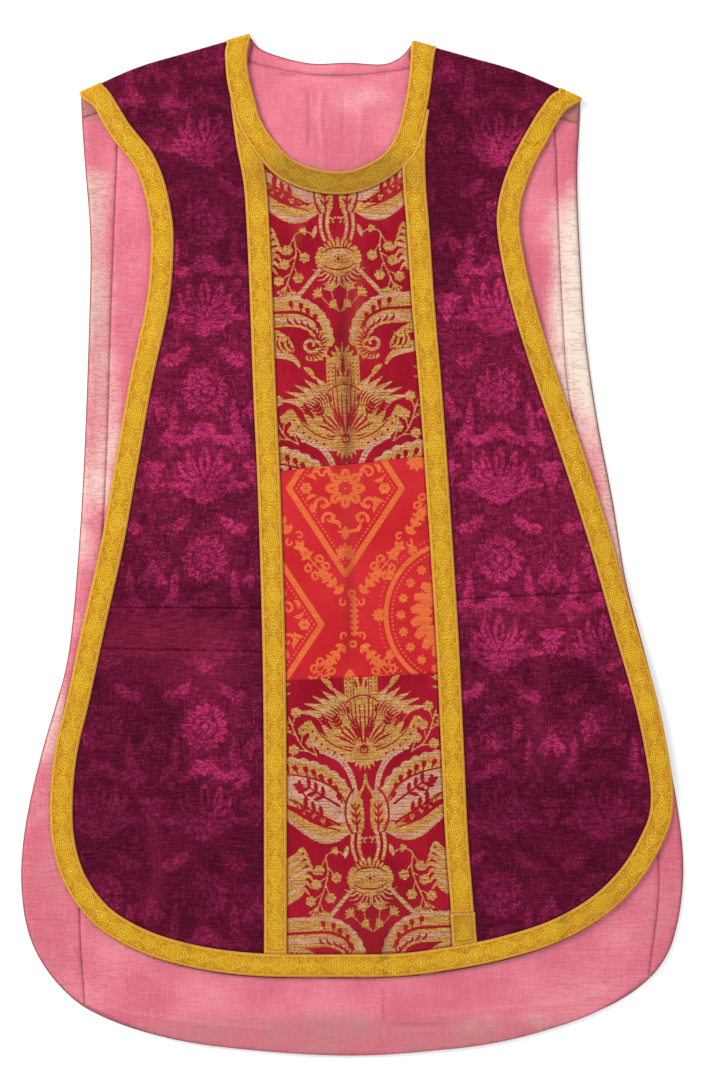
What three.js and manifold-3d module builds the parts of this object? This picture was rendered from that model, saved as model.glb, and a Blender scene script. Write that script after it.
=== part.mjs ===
// A fiddleback chasuble laid flat, face up: the front panel lies on the larger back panel, and the
// cloth turns over at the two shoulders. Millimetres; +X is the wearer's left as it lies, +Y runs
// from hem to neck, +Z is up, and the underside rests at z = 0.

import * as THREE from "three";
import { mergeVertices } from "three/addons/utils/BufferGeometryUtils.js";
import Module from "manifold-3d";

// ---- Driving dimensions ----------------------------------------------------------------------

const SEAM_GAP = 0.3; // between pieces that are sewn to or lie on each other
const SHELL_CLOTH = 2.2; // outer cloth with its interlining
const LINING_CLOTH = 1.0;
const FRONT_CLOTH = 2.2; // outer cloth, interlining and its own lining
const GALLOON_WIDTH = 24;
const GALLOON_CLOTH = 0.9;
const PATCH_WIDTH = 26; // the joined end at the foot of the right column braid

const LINING_UNDER = SHELL_CLOTH + SEAM_GAP;
const LINING_TOP = LINING_UNDER + LINING_CLOTH;
const FRONT_UNDER = LINING_TOP + SEAM_GAP;

// The shoulder fold is a half round about a level axis. The braid is its outermost layer.
const FOLD_RADIUS = 4.6;
const FOLD_BRAID_UNDER = FOLD_RADIUS - GALLOON_CLOTH;
const FOLD_CLOTH_TOP = FOLD_BRAID_UNDER - SEAM_GAP;
const FOLD_CLOTH_UNDER = FOLD_CLOTH_TOP - FRONT_CLOTH;
const FOLD_RUN = 58; // how far below the crease the front settles onto the lining
const FOLD_ANGLES = [-90, -52, -18, 18, 52, 90];
const BRAID_ON_CREASE = 1.1 * GALLOON_WIDTH; // the braid crosses the crease a little aslant
const BRAID_TURN = 48; // how far from the crease the braid is back at its own width

const CHANNEL_DEPTH = GALLOON_CLOTH + SEAM_GAP;
const LINING_INSET = 1.2; // the lining stops just short of the back's edge
const SEAM_OVERRUN = 6; // what a piece runs past a seam before it is cut back to it
const TOP_ROOM = 8;
const SHOULDER_LINING_WIDTH = 25;

// How far from the ends of the creases the back's pieces start, so that its corners stay clear.
const CORNER_CLEAR = { edge: 4, neck: 3, facing: 5, shoulder: 1.5 };
const SHOULDER_FOOT_CLEAR = 11; // more at the foot: that end runs straight down, aslant to the crease

// How finely the pieces are divided.
const BRAID_STATION = 18;
const UNDERSIDE_STATION = 24;
const FINE_CELL = 16;
const FRONT_CELL = 26;
const COARSE_CELL = 36;
const SHOULDER_COLUMNS = 10;
const SIDE_COLUMNS = 6;
const COLUMN_COLUMNS = 4;
const LINING_COLUMNS = 10;
const FACING_COLUMNS = 28;
const CREASE_SAMPLES = 8;
const EDGE_SAMPLES = 96;
const NECK_SAMPLES = 18;
const HOLE_SAMPLES = 72;

// Long, low waves of the front as it lies: length and rise of each, and its heading in degrees.
const FRONT_WAVES = [
  { length: 310, rise: 0.9, heading: 62, start: 0.4 },
  { length: 190, rise: 0.5, heading: 148, start: 2.1 },
];
// Softer and shorter ones in the lining that shows below the front and at the armholes.
const LINING_WAVES = [
  { length: 125, rise: 0.8, heading: 100, start: 0.0 },
  { length: 150, rise: 0.6, heading: 12, start: 1.3 },
];
const LINING_WAVE_START = 16; // they begin this far outside the front's edge
const LINING_WAVE_RUN = 22;

// ---- Outlines: x and y of the points that each line runs smoothly through ----------------------

// The creases of the shoulder fold, from neck to armhole.
const CREASE_LEFT = [[-107, 537], [-180, 516], [-227, 502], [-287, 475]];
const CREASE_RIGHT = [[63, 530], [131, 511], [170, 500], [216, 481], [242, 469]];

// The front's edge, from the left shoulder round the hem to the right shoulder.
const FRONT_EDGE = [
  [-287, 475], [-277, 468], [-270, 458], [-258, 436], [-245, 419], [-232, 403], [-222, 380],
  [-217, 360], [-213, 334], [-213, 307], [-217, 260], [-235, 175], [-250, 90], [-265, 5],
  [-284, -80], [-302, -164], [-313, -210], [-319, -260], [-318, -310], [-308, -350],
  [-292, -379], [-267, -406], [-225, -430], [-182, -444], [-140, -452], [-98, -456],
  [-13, -457], [51, -456], [93, -451], [157, -439], [220, -419], [263, -395], [289, -373],
  [312, -345], [330, -312], [338, -290], [340, -260], [336, -228], [323, -164], [299, -80],
  [275, 5], [248, 90], [219, 175], [205, 217], [187, 281], [179, 323], [177, 342], [180, 366],
  [191, 398], [206, 426], [220, 451], [229, 462], [242, 469],
];

// The back's edge, the same way round.
const BACK_EDGE = [
  [-287, 475], [-286, 448], [-282, 392], [-278, 344], [-277, 302], [-279, 217], [-282, 132],
  [-286, 48], [-292, -37], [-297, -90], [-303, -130], [-314, -170], [-325, -207], [-336, -249],
  [-345, -292], [-350, -334], [-350, -364], [-345, -402], [-330, -440], [-294, -482],
  [-254, -504], [-187, -524], [-108, -535], [-2, -541], [83, -536], [164, -525], [235, -504],
  [284, -482], [315, -459], [333, -436], [343, -408], [349, -376], [351, -339], [347, -292],
  [340, -249], [329, -190], [313, -124], [301, -80], [290, -37], [276, 48], [260, 132],
  [248, 217], [242, 302], [239, 366], [239, 408], [241, 445], [242, 469],
];

// The front's neckline, from the left crease round the bowl to the right one.
const FRONT_NECK = [
  [-107, 537], [-111, 517], [-109, 496], [-103, 472], [-96, 449], [-80, 425], [-63, 408],
  [-42, 399], [-20, 395], [-2, 396], [15, 402], [34, 414], [47, 434], [53, 455], [57, 472],
  [61, 502], [63, 530],
];
// The back's neckline, and the lower edge of the braid under it.
const BACK_NECK = [
  [-107, 537], [-99, 527], [-78, 518], [-42, 510], [-5, 511], [37, 510], [54, 519], [63, 530],
];
const BACK_NECK_BRAID = [
  [-133, 529], [-119, 507], [-88, 494], [-42, 486], [-5, 487], [42, 486], [70, 497], [89, 522],
];
// The lower edge of the neck facing.
const FACING_SEAM = [[-109.8, 512], [-87, 506], [-42, 498], [11, 498], [65.4, 505]];

// The middle of each column braid, from where it comes out under the neck braid to the hem.
const BRAID_LINE_LEFT = [
  [-118, 484], [-111, 429], [-103, 386], [-99, 330], [-96, 260], [-92, 154], [-88, 69],
  [-82, -143], [-81, -355], [-81, -458],
];
const BRAID_LINE_RIGHT = [
  [72, 476], [66, 429], [66, 386], [70, 334], [75, 260], [84, 154], [90, 69], [101, -101],
  [106, -207], [111, -313], [116, -376], [121, -448],
];
const BRAID_TOP = { left: 474, right: 462 };

// The seams between the sides and the column, from the crease to the hem: along the neckline at
// first, then under the middle of the braids.
const COLUMN_SEAM_LEFT = [
  [-107, 537], [-111, 517], [-109, 496], [-103.5, 472], [-103, 445], [-103, 415],
  ...BRAID_LINE_LEFT.slice(2),
];
const COLUMN_SEAM_RIGHT = [
  [63, 530], [61, 502], [57.5, 472], [58.5, 445], [61.5, 415],
  ...BRAID_LINE_RIGHT.slice(2),
];
const COLUMN_TOP = 466; // the column's corners; the neckline is cut out of it

// Cross seams, by the height of each at its left and right ends.
const CROSS_SEAMS = {
  sideLeftHigh: { left: -66, right: -67 },
  sideLeftLow: { left: -109, right: -113 },
  sideRight: { left: -58, right: -48 },
  silkTop: { left: 77, right: 95 },
  silkFoot: { left: -144, right: -135 },
  braidPatch: { left: -389, right: -389 },
};

// Where the front's edge turns the corner into the hem.
const HEM_TURN_LEFT = -376;
const HEM_TURN_RIGHT = -340;

// Seams of the back lining's side strips, from the shoulder down.
const LINING_SEAM_LEFT = [
  [-246, 470], [-248, 429], [-254, 281], [-259, 118], [-261, 69], [-276, -228], [-288, -388],
  [-283, -488],
];
const LINING_SEAM_RIGHT = [
  [211, 458], [215, 434], [218, 361], [222, 265], [232, 141], [284, -101], [324, -335],
  [325, -368], [314, -460],
];

const LINING_STRIP_FOOT = { left: -478, right: -453 };

const FINISHES = {
  damask: { color: 0x6b0f3f, roughness: 0.55, metalness: 0.0 },
  galloon: { color: 0xd9a62b, roughness: 0.45, metalness: 0.25 },
  brocade: { color: 0xb02a3a, roughness: 0.5, metalness: 0.1 },
  silk: { color: 0xe04a38, roughness: 0.45, metalness: 0.0 },
  lining: { color: 0xf08ba0, roughness: 0.85, metalness: 0.0 },
};

// ---- Lines in plan -----------------------------------------------------------------------------

class Line {
  constructor(points) {
    const knots = points.map(([x, y]) => new THREE.Vector3(x, y, 0));
    this.curve = new THREE.CatmullRomCurve3(knots, false, "centripetal");
    this.curve.arcLengthDivisions = 1500;
    this.length = this.curve.getLength();
  }

  at(distance) {
    const share = THREE.MathUtils.clamp(distance / this.length, 0, 1);
    const { x, y } = this.curve.getPointAt(share);
    return new THREE.Vector2(x, y);
  }

  // The level direction square to the line: +1 is to the left of the way it runs, -1 to the right.
  square(distance, side) {
    const share = THREE.MathUtils.clamp(distance / this.length, 0, 1);
    const { x, y } = this.curve.getTangentAt(share);
    return new THREE.Vector2(-y, x).normalize().multiplyScalar(side);
  }

  // The distance along the line, between from and to, where its x or y has the value wanted.
  where(axis, value, from = 0, to = this.length) {
    const rising = this.at(to)[axis] > this.at(from)[axis];
    let low = from;
    let high = to;
    for (let step = 0; step < 40; step++) {
      const middle = (low + high) / 2;
      const short = this.at(middle)[axis] < value;
      if (short === rising) low = middle;
      else high = middle;
    }
    return (low + high) / 2;
  }
}

// A stretch of a line, run through by t from 0 to 1 and moved sideways by shift.
function stretch(line, from, to, { shift = 0, side = 1 } = {}) {
  return (t) => {
    const distance = THREE.MathUtils.lerp(from, to, t);
    return line.at(distance).addScaledVector(line.square(distance, side), shift);
  };
}

function straight(a, b) {
  return (t) => a.clone().lerp(b, t);
}

function moved(side, x, y) {
  return (t) => side(t).add(new THREE.Vector2(x, y));
}

// ---- Heights -----------------------------------------------------------------------------------

function ease(t) {
  const x = THREE.MathUtils.clamp(t, 0, 1);
  return x * x * (3 - 2 * x);
}

// The sum of the waves at a point, never below nought.
function swell(waves, x, y) {
  let height = 0;
  for (const { length, rise, heading, start } of waves) {
    const turn = THREE.MathUtils.degToRad(heading);
    const along = x * Math.cos(turn) + y * Math.sin(turn);
    height += (rise / 2) * (1 + Math.sin((2 * Math.PI * along) / length + start));
  }
  return height;
}

const creaseLeft = new Line(CREASE_LEFT);
const creaseRight = new Line(CREASE_RIGHT);
const frontEdge = new Line(FRONT_EDGE);
const backEdge = new Line(BACK_EDGE);
const frontNeck = new Line(FRONT_NECK);
const backNeck = new Line(BACK_NECK);
const seamLeft = new Line(COLUMN_SEAM_LEFT);
const seamRight = new Line(COLUMN_SEAM_RIGHT);
const braidLineLeft = new Line(BRAID_LINE_LEFT);
const braidLineRight = new Line(BRAID_LINE_RIGHT);
const liningSeamLeft = new Line(LINING_SEAM_LEFT);
const liningSeamRight = new Line(LINING_SEAM_RIGHT);
const facingSeam = new Line(FACING_SEAM);
const neckBraidFoot = new Line(BACK_NECK_BRAID);

// How far a point lies below the crease of its own shoulder.
function belowCrease(x, y) {
  const crease = x < (CREASE_LEFT[0][0] + CREASE_RIGHT[0][0]) / 2 ? creaseLeft : creaseRight;
  const distance = crease.where("x", x);
  const { y: top } = crease.at(distance);
  return (top - y) * Math.abs(crease.square(distance, 1).y);
}

// The upper face of the front as it lies on the lining, lifted towards the shoulder fold.
function frontTop(x, y) {
  const settled = FRONT_UNDER + FRONT_CLOTH + swell(FRONT_WAVES, x, y);
  const lifted = FOLD_RADIUS + FOLD_CLOTH_TOP;
  return THREE.MathUtils.lerp(settled, lifted, ease(1 - belowCrease(x, y) / FOLD_RUN));
}

// The front's outline, closed along the creases and across the neck.
const frontRim = samples(stretch(frontEdge, 0, frontEdge.length), 300);
const frontOutline = [
  ...frontRim,
  ...samples(stretch(creaseRight, creaseRight.length, 0), CREASE_SAMPLES),
  ...samples(stretch(creaseLeft, 0, creaseLeft.length), CREASE_SAMPLES),
];

function isUnderFront(x, y) {
  let inside = false;
  for (let i = 0, j = frontOutline.length - 1; i < frontOutline.length; j = i++) {
    const a = frontOutline[i];
    const b = frontOutline[j];
    if (a.y > y !== b.y > y && x < ((b.x - a.x) * (y - a.y)) / (b.y - a.y) + a.x) inside = !inside;
  }
  return inside;
}

// The upper face of the lining: flat under the front and in the neck, with waves out in the open.
function liningTop(x, y) {
  if (isUnderFront(x, y)) return LINING_TOP;
  const clear = Math.min(...frontRim.map((p) => Math.hypot(p.x - x, p.y - y)));
  const share = ease((clear - LINING_WAVE_START) / LINING_WAVE_RUN);
  return LINING_TOP + share * swell(LINING_WAVES, x, y);
}

// ---- Walls -------------------------------------------------------------------------------------

// A closed wall between two grids of points, one over the other, each a list of rows.
function wall(over, under) {
  const rows = over.length;
  const columns = over[0].length;
  const positions = [...over.flat(), ...under.flat()].flatMap((p) => [p.x, p.y, p.z]);
  const top = (i, j) => i * columns + j;
  const base = (i, j) => rows * columns + i * columns + j;
  const faces = [];
  const quad = (a, b, c, d) => faces.push(a, b, c, a, c, d);
  for (let i = 0; i < rows - 1; i++) {
    for (let j = 0; j < columns - 1; j++) {
      quad(top(i, j), top(i + 1, j), top(i + 1, j + 1), top(i, j + 1));
      quad(base(i, j), base(i, j + 1), base(i + 1, j + 1), base(i + 1, j));
    }
    quad(base(i, 0), base(i + 1, 0), top(i + 1, 0), top(i, 0));
    quad(top(i, columns - 1), top(i + 1, columns - 1), base(i + 1, columns - 1), base(i, columns - 1));
  }
  for (let j = 0; j < columns - 1; j++) {
    quad(top(0, j), top(0, j + 1), base(0, j + 1), base(0, j));
    quad(base(rows - 1, j), base(rows - 1, j + 1), top(rows - 1, j + 1), top(rows - 1, j));
  }
  const geometry = new THREE.BufferGeometry();
  geometry.setAttribute("position", new THREE.Float32BufferAttribute(positions, 3));
  geometry.setIndex(faces);
  return facingOut(geometry);
}

function facingOut(geometry) {
  const position = geometry.getAttribute("position");
  const index = geometry.getIndex();
  const corner = (i) => new THREE.Vector3().fromBufferAttribute(position, index.getX(i));
  let volume = 0;
  for (let i = 0; i < index.count; i += 3) {
    volume += corner(i).dot(corner(i + 1).cross(corner(i + 2)));
  }
  if (volume < 0) {
    for (let i = 0; i < index.count; i += 3) {
      const second = index.getX(i + 1);
      index.setX(i + 1, index.getX(i + 2));
      index.setX(i + 2, second);
    }
  }
  return geometry;
}

// A grid of plan points between four sides, each run through by t from 0 to 1. The rows go from
// top to bottom at the shares given, and the columns from left to right.
function patch({ top, bottom, left, right }, columns, shares) {
  return shares.map((v) =>
    Array.from({ length: columns + 1 }, (_, j) => {
      const u = j / columns;
      const point = new THREE.Vector2();
      point.addScaledVector(top(u), 1 - v).addScaledVector(bottom(u), v);
      point.addScaledVector(left(v), 1 - u).addScaledVector(right(v), u);
      point.addScaledVector(top(0), -(1 - u) * (1 - v)).addScaledVector(top(1), -u * (1 - v));
      point.addScaledVector(bottom(0), -(1 - u) * v).addScaledVector(bottom(1), -u * v);
      return point;
    }),
  );
}

function evenShares(length, cell) {
  const rows = Math.max(1, Math.round(length / cell));
  return Array.from({ length: rows + 1 }, (_, i) => i / rows);
}

// Closely spaced by a crease, where the front settles, and widely further down.
function sharesFromCrease(length) {
  const first = 5;
  const growth = 0.3;
  const shares = [0];
  for (let y = first; y < length; y += Math.min(FRONT_CELL, first + 1 + y * growth)) shares.push(y / length);
  if (1 - shares.at(-1) < 0.02) shares.pop();
  return [...shares, 1];
}

// Widely spaced beside the front, and closely along the hem that it leaves bare.
function sharesToHem(length) {
  const bare = 120;
  const hidden = evenShares(length - bare, COARSE_CELL).map((share) => (share * (length - bare)) / length);
  const open = evenShares(bare, FINE_CELL).map((share) => 1 - ((1 - share) * bare) / length);
  return [...hidden, ...open.slice(1)];
}

function lifted(grid, height, rise = 0) {
  return grid.map((row) => row.map(({ x, y }) => new THREE.Vector3(x, y, height(x, y) + rise)));
}

function frontWall(grid) {
  return wall(lifted(grid, frontTop), lifted(grid, frontTop, -FRONT_CLOTH));
}

function liningWall(grid) {
  return wall(lifted(grid, liningTop), lifted(grid, () => LINING_UNDER));
}

// Rows of points round the shoulder fold at one radius, from the underside up to the top.
function foldRows(crease, stops, radius) {
  return FOLD_ANGLES.map((degrees) => {
    const angle = THREE.MathUtils.degToRad(degrees);
    return stops.map((stop) => {
      const side = crease === creaseLeft ? -1 : 1;
      const { x, y } = crease.at(stop).addScaledVector(crease.square(stop, side), radius * Math.cos(angle));
      return new THREE.Vector3(x, y, FOLD_RADIUS + radius * Math.sin(angle));
    });
  });
}

// ---- Solids for cutting ------------------------------------------------------------------------

const wasm = await Module();
wasm.setup();

function solid(geometry) {
  const bare = new THREE.BufferGeometry();
  bare.setAttribute("position", geometry.getAttribute("position").clone());
  if (geometry.getIndex()) bare.setIndex(geometry.getIndex().clone());
  const merged = mergeVertices(bare, 1e-5);
  return new wasm.Manifold(
    new wasm.Mesh({
      numProp: 3,
      vertProperties: Float32Array.from(merged.getAttribute("position").array),
      triVerts: Uint32Array.from(merged.getIndex().array),
    }),
  );
}

function surface(manifold) {
  const { vertProperties, triVerts } = manifold.getMesh();
  const geometry = new THREE.BufferGeometry();
  geometry.setAttribute("position", new THREE.Float32BufferAttribute(vertProperties, 3));
  geometry.setIndex([...triVerts]);
  return geometry;
}

function cut(geometry, ...cutters) {
  return surface(cutters.reduce((rest, cutter) => rest.subtract(solid(cutter)), solid(geometry)));
}

// A level slab with the outline given, from one height to another.
function slab(outline, from, to) {
  const geometry = new THREE.ExtrudeGeometry(new THREE.Shape(outline), {
    depth: to - from,
    bevelEnabled: false,
  });
  return geometry.translate(0, 0, from);
}

function samples(side, count) {
  return Array.from({ length: count + 1 }, (_, i) => side(i / count));
}

// ---- Braids ------------------------------------------------------------------------------------

// Pairs of plan points along a braid sewn along an edge that starts and ends at the creases: one
// on the edge, grown outwards, and one a braid's width in. side says where the cloth is.
function edgePairs(edge, side, { start, end, grow = 0, station = BRAID_STATION }) {
  const count = Math.round(edge.length / station);
  return Array.from({ length: count + 1 }, (_, i) => {
    const distance = (edge.length * i) / count;
    const inward = edge.square(distance, side);
    const inner = edge.at(distance).addScaledVector(inward, GALLOON_WIDTH + grow);
    inner.lerp(start, ease(1 - distance / BRAID_TURN));
    inner.lerp(end, ease(1 - (edge.length - distance) / BRAID_TURN));
    return [edge.at(distance).addScaledVector(inward, -grow), inner];
  });
}

function threeAcross([edge, inner]) {
  return [edge, edge.clone().lerp(inner, 0.5), inner];
}

const stopsFrom = (end, sign) => [end, end + (sign * BRAID_ON_CREASE) / 2, end + sign * BRAID_ON_CREASE];

// A braid on the front that turns over both shoulder folds, from stops at the creases.
function foldedBraid(edge, side, stopsLeft, stopsRight) {
  const start = creaseLeft.at(stopsLeft[2]);
  const end = creaseRight.at(stopsRight[2]);
  const rows = edgePairs(edge, side, { start, end }).slice(1, -1).map(threeAcross);
  const grid = (radius, rise) => [
    ...foldRows(creaseLeft, stopsLeft, radius),
    ...lifted(rows, frontTop, rise),
    ...foldRows(creaseRight, stopsRight, radius).reverse(),
  ];
  return wall(grid(FOLD_RADIUS, SEAM_GAP + GALLOON_CLOTH), grid(FOLD_BRAID_UNDER, SEAM_GAP));
}

// The room that such a braid takes on the front, with a seam gap round it.
function braidRoom(edge, side, stopsLeft, stopsRight) {
  const start = creaseLeft.at(stopsLeft[2]);
  const end = creaseRight.at(stopsRight[2]);
  const rows = edgePairs(edge, side, { start, end, grow: SEAM_GAP });
  return wall(lifted(rows, frontTop, FRONT_CLOTH), lifted(rows, frontTop, 0));
}

// A braid centred on a line beside the column, between two heights.
function columnBraid(line, from, to, width) {
  const start = line.where("y", from);
  const end = line.where("y", to);
  const rows = evenShares(end - start, BRAID_STATION).map((share) => {
    const distance = THREE.MathUtils.lerp(start, end, share);
    const centre = line.at(distance);
    const across = line.square(distance, 1);
    return [-0.5, 0.5].map((place) => centre.clone().addScaledVector(across, place * width));
  });
  return wall(lifted(rows, frontTop, SEAM_GAP + GALLOON_CLOTH), lifted(rows, frontTop, SEAM_GAP));
}

// A level braid on the underside, from pairs of plan points.
function flatBraid(pairs, top) {
  return wall(
    lifted(pairs, () => top),
    lifted(pairs, () => (top > GALLOON_CLOTH ? -CHANNEL_DEPTH : 0)),
  );
}

// ---- Pieces ------------------------------------------------------------------------------------

const chasuble = new THREE.Group();

function add(name, finish, geometry) {
  const mesh = new THREE.Mesh(geometry, new THREE.MeshStandardMaterial(FINISHES[finish]));
  mesh.name = name;
  chasuble.add(mesh);
}

// The front's sides: each is a stack of pieces from the fold to the hem. One with no seam above it
// starts at the fold, and one with none below it ends at the hem.
const HEM_SHARE = [0.3, 0.7]; // where along the front's edge the hem is looked for

function sidePanel(name, crease, seam, { above = null, below = null }) {
  const isLeft = crease === creaseLeft;
  const farEnd = isLeft ? 0 : frontEdge.length;
  const edgeAt = (y) => frontEdge.where("y", y, farEnd, frontEdge.length / 2);
  const [edgeSide, seamSide] = isLeft ? ["left", "right"] : ["right", "left"];
  const turn = edgeAt(isLeft ? HEM_TURN_LEFT : HEM_TURN_RIGHT);
  const seamStart = above ? seam.where("y", above[seamSide]) : 0;
  const seamEnd = below ? seam.where("y", below[seamSide]) : seam.length;
  const gap = { shift: SEAM_GAP / 2, side: isLeft ? -1 : 1 };
  const left = stretch(
    frontEdge,
    above ? edgeAt(above[edgeSide]) : farEnd,
    below ? edgeAt(below[edgeSide]) : turn,
  );
  const right = stretch(seam, seamStart, seamEnd, gap);
  const hem = stretch(frontEdge, turn, hemAt(seam.at(seam.length).x));
  const fold = stretch(crease, crease.length, 0);
  const top = above ? moved(straight(left(0), right(0)), 0, -SEAM_GAP / 2) : fold;
  const bottom = below ? moved(straight(left(1), right(1)), 0, SEAM_GAP / 2) : hem;
  const length = seamEnd - seamStart;
  if (above) {
    const grid = patch({ top, bottom, left, right }, SIDE_COLUMNS, evenShares(length, FRONT_CELL));
    add(name, "damask", frontWall(grid));
    return;
  }
  const grid = patch({ top, bottom, left, right }, SHOULDER_COLUMNS, sharesFromCrease(length)).slice(1);
  const stops = samples((t) => crease.length * (1 - t), SHOULDER_COLUMNS);
  const over = [...foldRows(crease, stops, FOLD_CLOTH_TOP), ...lifted(grid, frontTop)];
  const under = [...foldRows(crease, stops, FOLD_CLOTH_UNDER), ...lifted(grid, frontTop, -FRONT_CLOTH)];
  add(name, "damask", wall(over, under));
}

function hemAt(x) {
  const [from, to] = HEM_SHARE.map((share) => share * frontEdge.length);
  return frontEdge.where("x", x, from, to);
}

const { sideLeftHigh, sideLeftLow, sideRight, silkTop, silkFoot, braidPatch } = CROSS_SEAMS;
sidePanel("front_side_left_upper", creaseLeft, seamLeft, { below: sideLeftHigh });
sidePanel("front_side_left_middle", creaseLeft, seamLeft, { above: sideLeftHigh, below: sideLeftLow });
sidePanel("front_side_left_lower", creaseLeft, seamLeft, { above: sideLeftLow });
sidePanel("front_side_right_upper", creaseRight, seamRight, { below: sideRight });
sidePanel("front_side_right_lower", creaseRight, seamRight, { above: sideRight });

// The column between the sides, in three lengths. The last one runs to the hem.
function columnPiece(from, to) {
  const gap = SEAM_GAP / 2;
  const start = [seamLeft.where("y", from.left), seamRight.where("y", from.right)];
  const end = to
    ? [seamLeft.where("y", to.left), seamRight.where("y", to.right)]
    : [seamLeft.length, seamRight.length];
  const left = stretch(seamLeft, start[0], end[0], { shift: gap });
  const right = stretch(seamRight, start[1], end[1], { shift: gap, side: -1 });
  const top = moved(straight(left(0), right(0)), 0, -gap);
  const hem = stretch(frontEdge, hemAt(left(1).x), hemAt(right(1).x));
  const bottom = to ? moved(straight(left(1), right(1)), 0, gap) : hem;
  const shares = evenShares(end[0] - start[0], FINE_CELL);
  return frontWall(patch({ top, bottom, left, right }, COLUMN_COLUMNS, shares));
}

const neckLine = samples(stretch(frontNeck, 0, frontNeck.length), HOLE_SAMPLES);
const neckHole = slab(neckLine, 0, 4 * FOLD_RADIUS);
const columnTop = { left: COLUMN_TOP, right: COLUMN_TOP };
add("column_brocade_upper", "brocade", cut(columnPiece(columnTop, silkTop), neckHole));
add("column_silk_middle", "silk", columnPiece(silkTop, silkFoot));
add("column_brocade_lower", "brocade", columnPiece(silkFoot, null));

// The braids on the front. Those beside the column run under the neck and hem braids, so they are
// cut back to both.
const edgeStops = [stopsFrom(creaseLeft.length, -1), stopsFrom(creaseRight.length, -1)];
const neckStops = [stopsFrom(0, 1), stopsFrom(0, 1)];
const edgeRoom = braidRoom(frontEdge, 1, ...edgeStops);
const neckRoom = braidRoom(frontNeck, -1, ...neckStops);
const underHemBraid = (seam) => seam.at(seam.length).y + GALLOON_WIDTH / 2;
const columnBraids = {
  left: columnBraid(braidLineLeft, BRAID_TOP.left, underHemBraid(seamLeft), GALLOON_WIDTH),
  right: columnBraid(braidLineRight, BRAID_TOP.right, braidPatch.right + SEAM_GAP, GALLOON_WIDTH),
  patch: columnBraid(braidLineRight, braidPatch.right, underHemBraid(seamRight), PATCH_WIDTH),
};
add("edge_galloon", "galloon", foldedBraid(frontEdge, 1, ...edgeStops));
add("neck_galloon", "galloon", foldedBraid(frontNeck, -1, ...neckStops));
add("column_galloon_left", "galloon", cut(columnBraids.left, neckRoom, edgeRoom));
add("column_galloon_right", "galloon", cut(columnBraids.right, neckRoom));
add("column_galloon_right_patch", "galloon", cut(columnBraids.patch, edgeRoom));

// The back's outer cloth, with channels underneath for its two braids.
const creaseDown = (crease, depth) => (t) => {
  const distance = crease.length * t;
  const side = crease === creaseLeft ? 1 : -1;
  return crease.at(distance).addScaledVector(crease.square(distance, side), depth);
};
const crease = { left: creaseDown(creaseLeft, SEAM_GAP), right: creaseDown(creaseRight, SEAM_GAP) };
const clearOf = (line, clear, options) => stretch(line, clear, line.length - clear, options);
const backOutline = [
  ...samples(clearOf(backEdge, CORNER_CLEAR.edge), EDGE_SAMPLES),
  ...samples(crease.right, CREASE_SAMPLES).reverse(),
  ...samples(clearOf(backNeck, CORNER_CLEAR.neck), NECK_SAMPLES).reverse(),
  ...samples(crease.left, CREASE_SAMPLES),
];
const backBraid = {
  station: UNDERSIDE_STATION,
  start: crease.left(1 - BRAID_ON_CREASE / creaseLeft.length),
  end: crease.right(1 - BRAID_ON_CREASE / creaseRight.length),
};
const acrossNeckBraid = (t) => [backNeck, neckBraidFoot].map((line) => line.at(line.length * t));
const neckPairs = samples(acrossNeckBraid, 16);
const grownNeckPairs = neckPairs.map(([point, foot]) => {
  const reach = foot.clone().sub(point).normalize();
  return [point.clone().addScaledVector(reach, -1), foot.clone().addScaledVector(reach, SEAM_GAP)];
});
const edgeBraid = flatBraid(edgePairs(backEdge, 1, backBraid), GALLOON_CLOTH);
const edgeChannel = flatBraid(edgePairs(backEdge, 1, { ...backBraid, grow: SEAM_GAP }), CHANNEL_DEPTH);
const neckChannel = flatBraid(grownNeckPairs, CHANNEL_DEPTH);
const aboveCreases = [creaseLeft, creaseRight].map((line) => {
  const near = samples(creaseDown(line, SEAM_GAP), CREASE_SAMPLES);
  const beyond = samples(creaseDown(line, -2 * BRAID_STATION), CREASE_SAMPLES).reverse();
  return slab([...near, ...beyond], -CHANNEL_DEPTH, LINING_TOP);
});
add("back_shell", "damask", cut(slab(backOutline, 0, SHELL_CLOTH), edgeChannel, neckChannel));
add("back_edge_galloon", "galloon", cut(edgeBraid, ...aboveCreases));
add("back_neck_galloon", "galloon", cut(flatBraid(neckPairs, GALLOON_CLOTH), ...aboveCreases));

// The back's lining: shoulder pieces and a neck facing along the top, then a width of cotton
// between two side strips. What lies below the top pieces is cut back to their seams.
const insetEdge = (from, to) => stretch(backEdge, from, to, { shift: LINING_INSET });
const halfBack = backEdge.length / 2;
const backAt = (y, isLeft) => backEdge.where("y", y, isLeft ? 0 : backEdge.length, halfBack);

// A line along a shoulder, from neck to armhole, where it runs out to the back's edge.
function shoulderFoot(crease, depth) {
  const foot = creaseDown(crease, depth);
  const edge = insetEdge(backAt(foot(1).y, crease === creaseLeft), 0)(0);
  return (t) => foot(t).lerp(edge, ease((t - 0.8) / 0.2));
}

function shoulderLining(crease) {
  const top = creaseDown(crease, SEAM_GAP);
  const foot = shoulderFoot(crease, SHOULDER_LINING_WIDTH - SEAM_GAP);
  const near = CORNER_CLEAR.shoulder / crease.length;
  const nearFoot = SHOULDER_FOOT_CLEAR / crease.length;
  const far = 1 - LINING_INSET / crease.length;
  const span = (side, start) => (t) => side(THREE.MathUtils.lerp(start, far, t));
  const ends = { left: straight(top(near), foot(nearFoot)), right: straight(top(far), foot(far)) };
  return liningWall(patch({ top: span(top, near), bottom: span(foot, nearFoot), ...ends }, 20, [0, 1]));
}
add("shoulder_lining_left", "lining", shoulderLining(creaseLeft));
add("shoulder_lining_right", "lining", shoulderLining(creaseRight));

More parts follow.
